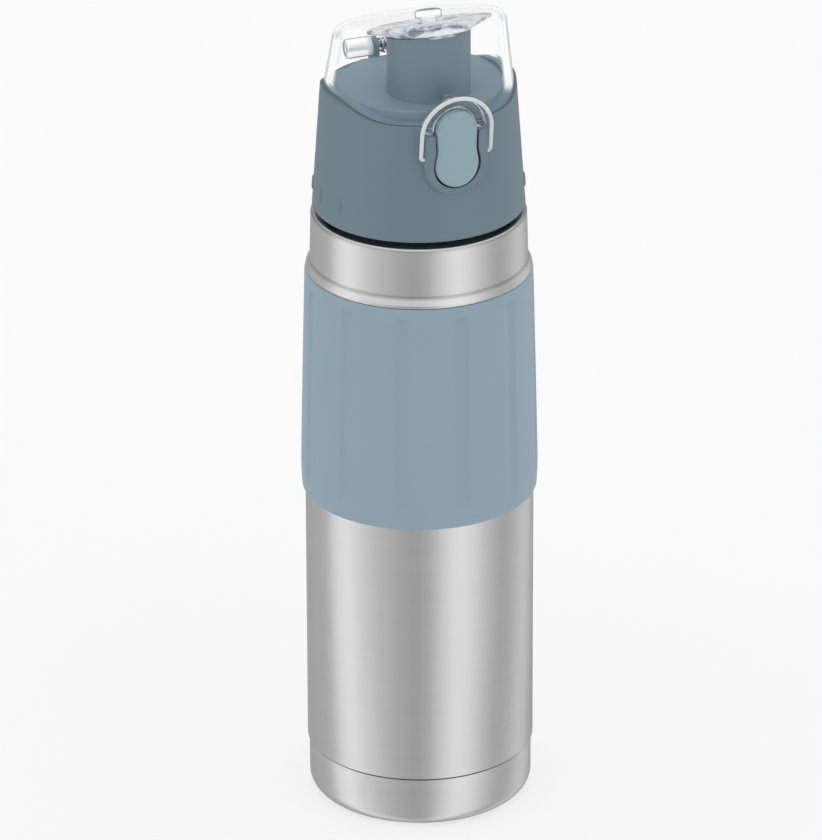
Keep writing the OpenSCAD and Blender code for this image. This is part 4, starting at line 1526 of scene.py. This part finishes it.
@dataclass
class SpoutSeal:
    """Translucent seal under the roof, and the stem that holds it."""

    half_w: float = 12.6
    half_l: float = 21.0
    depth: float = 1.25
    thick: float = 1.3
    pad_t: float = 2.1
    pad_r: float = 12.7
    plug_r: float = 10.7
    plug_h: float = 1.0
    soft: float = 0.4
    nick: float = 0.12
    stem_r: float = 2.5
    stem_low: float = -5.6
    head_r: float = 4.2
    head_z: Span = (0.05, 2.6)

    def outline(self, share: float, out: float) -> tuple[float, float]:
        """Point of the seal's pointed outline, set out by a distance."""
        angle = TURN * share
        half_l, half_w = self.half_l + out, self.half_w + out
        x = half_l * math.cos(angle)
        bow = (half_l ** 2 + half_w ** 2) / (2 * half_w)
        y = math.sqrt(max(0.0, bow ** 2 - x * x)) - bow + half_w
        return x, math.copysign(max(y, 0.35 * abs(math.sin(angle))), math.sin(angle))

    def build(self) -> None:
        """Makes the seal and its stem."""
        top = -self.depth
        low = top - self.thick
        soft, nick = self.soft, self.nick
        line = [(-9.5, top), (-3, top), (-soft, top), (-nick, top - nick), (0, top - soft), (0, low + soft)]
        line += [(-nick, low + nick), (-soft, low)]
        foot = low - self.pad_t
        plug = [(self.pad_r, foot + 0.3), (self.pad_r - 0.3, foot), (self.plug_r + 0.2, foot)]
        plug += [(self.plug_r, foot - 0.2), (self.plug_r, foot - self.plug_h + 0.3)]
        plug += [(self.plug_r - 0.3, foot - self.plug_h), (3.2, foot - self.plug_h)]

        def rule(ring: int, share: float) -> Vector:
            """Point of the seal, in the roof's own frame."""
            if ring < len(line):
                out, z = line[ring]
                return Vector((*self.outline(share, out), z))
            radius, z = plug[ring - len(line)]
            return around(radius, share, z, math.tan(LAYOUT.slope) * z)

        blank = Blank()
        blank.bridge(*blank.loft(len(line) + len(plug), 160, rule))
        blank.move(blank.bm.verts, LAYOUT.on_roof())
        blank.piece("spout_seal_pad", Body.COVER, SEAL_SILICONE, ["spout_seal"], 40)
        stem = Blank()
        under, crown = self.head_z
        stem.spin([
            Corner(0, self.stem_low), Corner(self.stem_r, self.stem_low, 0.3), Corner(self.stem_r, under, 0.2),
            Corner(self.head_r, under, 0.4), Corner(self.head_r, crown, 0.9), Corner(0, crown),
        ], 64, closed=False)
        stem.move(stem.bm.verts, LAYOUT.on_roof())
        stem.piece("seal_stem", Body.COVER, STEM_CLEAR, ["seal_retainer"])


@dataclass
class Springs:
    """Torsion spring of the cover and coil spring of the button."""

    coil_r: float = 1.85
    coil_wire: float = 0.7
    coil_half: float = 2.75
    coil_turns: float = 4 + 165 / 360
    coil_start: float = math.radians(-105)
    coil_steps: int = 160
    leg: float = 5.0
    push_r: float = 2.6
    push_wire: float = 0.5
    push_turns: float = 4.0
    push_steps: int = 128
    push_low: float = -29.05
    push_high: float = -23.61
    stroke: float = 1.85

    @staticmethod
    def leg_end(angle: float, reach: float, base: Point) -> Point:
        """End of a straight leg that leaves the coil."""
        return base[0] - reach * math.sin(angle), base[1] + reach * math.cos(angle), base[2]

    def build(self) -> None:
        """Makes both springs."""
        lay = LAYOUT
        steps = self.coil_steps
        curl: list[Point] = []
        for i in range(steps + 1):
            angle = self.coil_start + TURN * self.coil_turns * i / steps
            along = 2 * self.coil_half * i / steps
            curl.append((self.coil_r * math.cos(angle), self.coil_r * math.sin(angle), along))
        end = self.coil_start + TURN * self.coil_turns
        first, last = self.leg_end(self.coil_start, -self.leg, curl[0]), self.leg_end(end, self.leg, curl[-1])
        curl = [first] + curl + [last]
        path = [Vector((z - self.coil_half, lay.hinge_y + x, lay.hinge_z + y)) for x, y, z in curl]
        torsion = Blank()
        torsion.tube(path, self.coil_wire / 2, Vector((1, 0, 0)), 12)
        torsion.piece("torsion_spring", Body.LID, SPRING_STEEL, ["cover_spring"])
        path = []
        for i in range(self.push_steps + 1):
            angle = TURN * self.push_turns * i / self.push_steps
            y = self.push_low + (self.push_high - self.push_low) * i / self.push_steps
            across, rise = self.push_r * math.cos(angle), self.push_r * math.sin(angle)
            path.append(Vector((across, y, lay.spring_z + rise)))
        push = Blank()
        push.tube(path, self.push_wire / 2, Vector((0, 1, 0)), 12)
        spring = push.piece("push_spring", Body.LID, SPRING_STEEL, ["button_spring"])
        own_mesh(spring)


# The studio


@dataclass
class Studio:
    """Camera, floor and soft light."""

    azimuth: float = math.radians(-21.5)
    elevation: float = math.radians(24.68)
    distance: float = 2498.0
    focal_px: float = 7830.0
    roll: float = math.radians(-0.19)
    frame_px: tuple[int, int] = (822, 840)
    aim_z: float = 130.0
    aim_px: tuple[float, float] = (419.3, 414.7)
    sensor: float = 36.0
    pale: float = 0.955
    ceiling: float = 1.3
    ceiling_rise: Span = (0.35, 0.8)
    floor_half: float = 40.0
    floor_tones: Span = (0.26, 0.265)
    floor_glow: float = 0.667

    def axes(self) -> tuple[Vector, Vector, Vector]:
        """The camera's right, up and back."""
        sa, ca = math.sin(self.azimuth), math.cos(self.azimuth)
        se, ce = math.sin(self.elevation), math.cos(self.elevation)
        back = Vector((sa * ce, -ca * ce, se))
        right = Matrix.Rotation(self.roll, 3, back) @ Vector((ca, sa, 0))
        return right, back.cross(right), back

    def camera(self) -> None:
        """Stands the camera where the bottle is seen from."""
        right, up, back = self.axes()
        scale = self.distance / self.focal_px
        width, height = self.frame_px
        aim = Vector((0, 0, self.aim_z))
        aim += right * (width / 2 - self.aim_px[0]) * scale + up * (self.aim_px[1] - height / 2) * scale
        data = bpy.data.cameras.new("camera")
        data.sensor_fit = "VERTICAL"
        data.sensor_height = self.sensor
        data.lens = self.sensor * self.focal_px / height
        data.clip_start, data.clip_end = 0.05, 100
        camera = bpy.data.objects.new("camera", data)
        turn = Matrix((right, up, back)).transposed().to_4x4()
        camera.matrix_world = Matrix.Translation((aim + back * self.distance) * MM) @ turn
        bpy.context.scene.collection.objects.link(camera)
        bpy.context.scene.camera = camera

    def floor(self) -> None:
        """Lays the pale floor."""
        bm = bmesh.new()
        bmesh.ops.create_grid(bm, x_segments=1, y_segments=1, size=self.floor_half)
        mesh = bpy.data.meshes.new("floor")
        bm.to_mesh(mesh)
        bm.free()
        floor = bpy.data.objects.new("floor", mesh)
        paint = bpy.data.materials.new("floor_paint")
        paint.use_nodes = True
        graph = Graph(paint.node_tree)
        cloud = graph.noise((3, 3, 3), 2.0)
        tone = graph.tint(cloud, *((tone,) * 3 for tone in self.floor_tones))
        matt = graph.surface({"Base Color": tone, "Roughness": 0.9})
        glow = graph.node("ShaderNodeEmission", None, {"Color": (1, 1, 1, 1), "Strength": self.floor_glow})
        graph.end(graph.node("ShaderNodeAddShader", None, {0: matt, 1: glow}))
        mesh.materials.append(paint)
        floor.visible_glossy = False
        bpy.context.scene.collection.objects.link(floor)

    def backdrop(self) -> None:
        """Lights the bottle from soft banks of light all around."""
        right, _, back = self.axes()
        world = bpy.data.worlds.new("studio")
        bpy.context.scene.world = world
        world.use_nodes = True
        graph = Graph(world.node_tree)
        way = graph.node("ShaderNodeTexCoord", out="Generated")

        def along(axis: Vector) -> Signal:
            """Part of the way along an axis."""
            inputs = {0: way, 1: axis}
            return graph.node("ShaderNodeVectorMath", {"operation": "DOT_PRODUCT"}, inputs, out="Value")

        level = Vector((back.x, back.y, 0)).normalized()
        angle = along(right).math("ARCTAN2", along(level)) * (1 / TURN) + 0.5
        banks = graph.node("ShaderNodeValToRGB", {"stops": self.banks()}, {"Fac": angle})
        rise = along(Vector((0, 0, 1))).between(*self.ceiling_rise)
        light = graph.tint(rise, banks, (self.ceiling,) * 3)
        straight = graph.node("ShaderNodeLightPath", out="Is Camera Ray")
        through = graph.node("ShaderNodeLightPath", out="Is Transmission Ray")
        seen = graph.tint(straight.math("MAXIMUM", through), light, (self.pale,) * 3)
        graph.end(graph.node("ShaderNodeBackground", None, {"Color": seen}), "ShaderNodeOutputWorld")

    @staticmethod
    def banks() -> list[tuple[float, float]]:
        """Brightness around the bottle by the angle from the camera, from behind on the left to the right."""
        stops = {
            -180: 0.5, -166: 0.48, -150: 0.4, -130: 0.46, -106: 0.45, -91: 0.88, -77: 1.0, -60: 0.74,
            -35: 0.54, -14: 0.42, -3: 0.36, 10: 0.46, 24: 0.76, 38: 0.98, 52: 0.86, 70: 0.58,
            89: 0.4, 104: 0.48, 122: 0.68, 136: 0.64, 152: 0.4, 180: 0.34,
        }
        return [((degrees + 180) / 360, grey) for degrees, grey in stops.items()]

    def build(self) -> None:
        """Sets up the whole studio."""
        self.camera()
        self.floor()
        self.backdrop()
        bpy.context.scene.view_settings.view_transform = "Standard"


def main() -> None:
    """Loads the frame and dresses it."""
    logging.basicConfig(level=logging.INFO, format="%(name)s: %(message)s")
    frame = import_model()
    nodes = frame["nodes"]
    Studio().build()
    for kind in (SteelBody, Grip, LidShell, LidCore, Button, LockRing, Cover, SpoutSeal, Springs):
        kind().build()
    plain = {
        "bottom_plate": FLASK_STEEL, "vacuum_plug": SOLDER, "getter": GETTER_METAL, "radiation_foil": FOIL,
        "lid_gasket": GASKET_RUBBER, "spout_o_ring": GASKET_RUBBER, "hinge_pin": SPRING_STEEL,
    }
    for name, finish in plain.items():
        dress(nodes[name], finish)


if __name__ == "__main__":
    main()
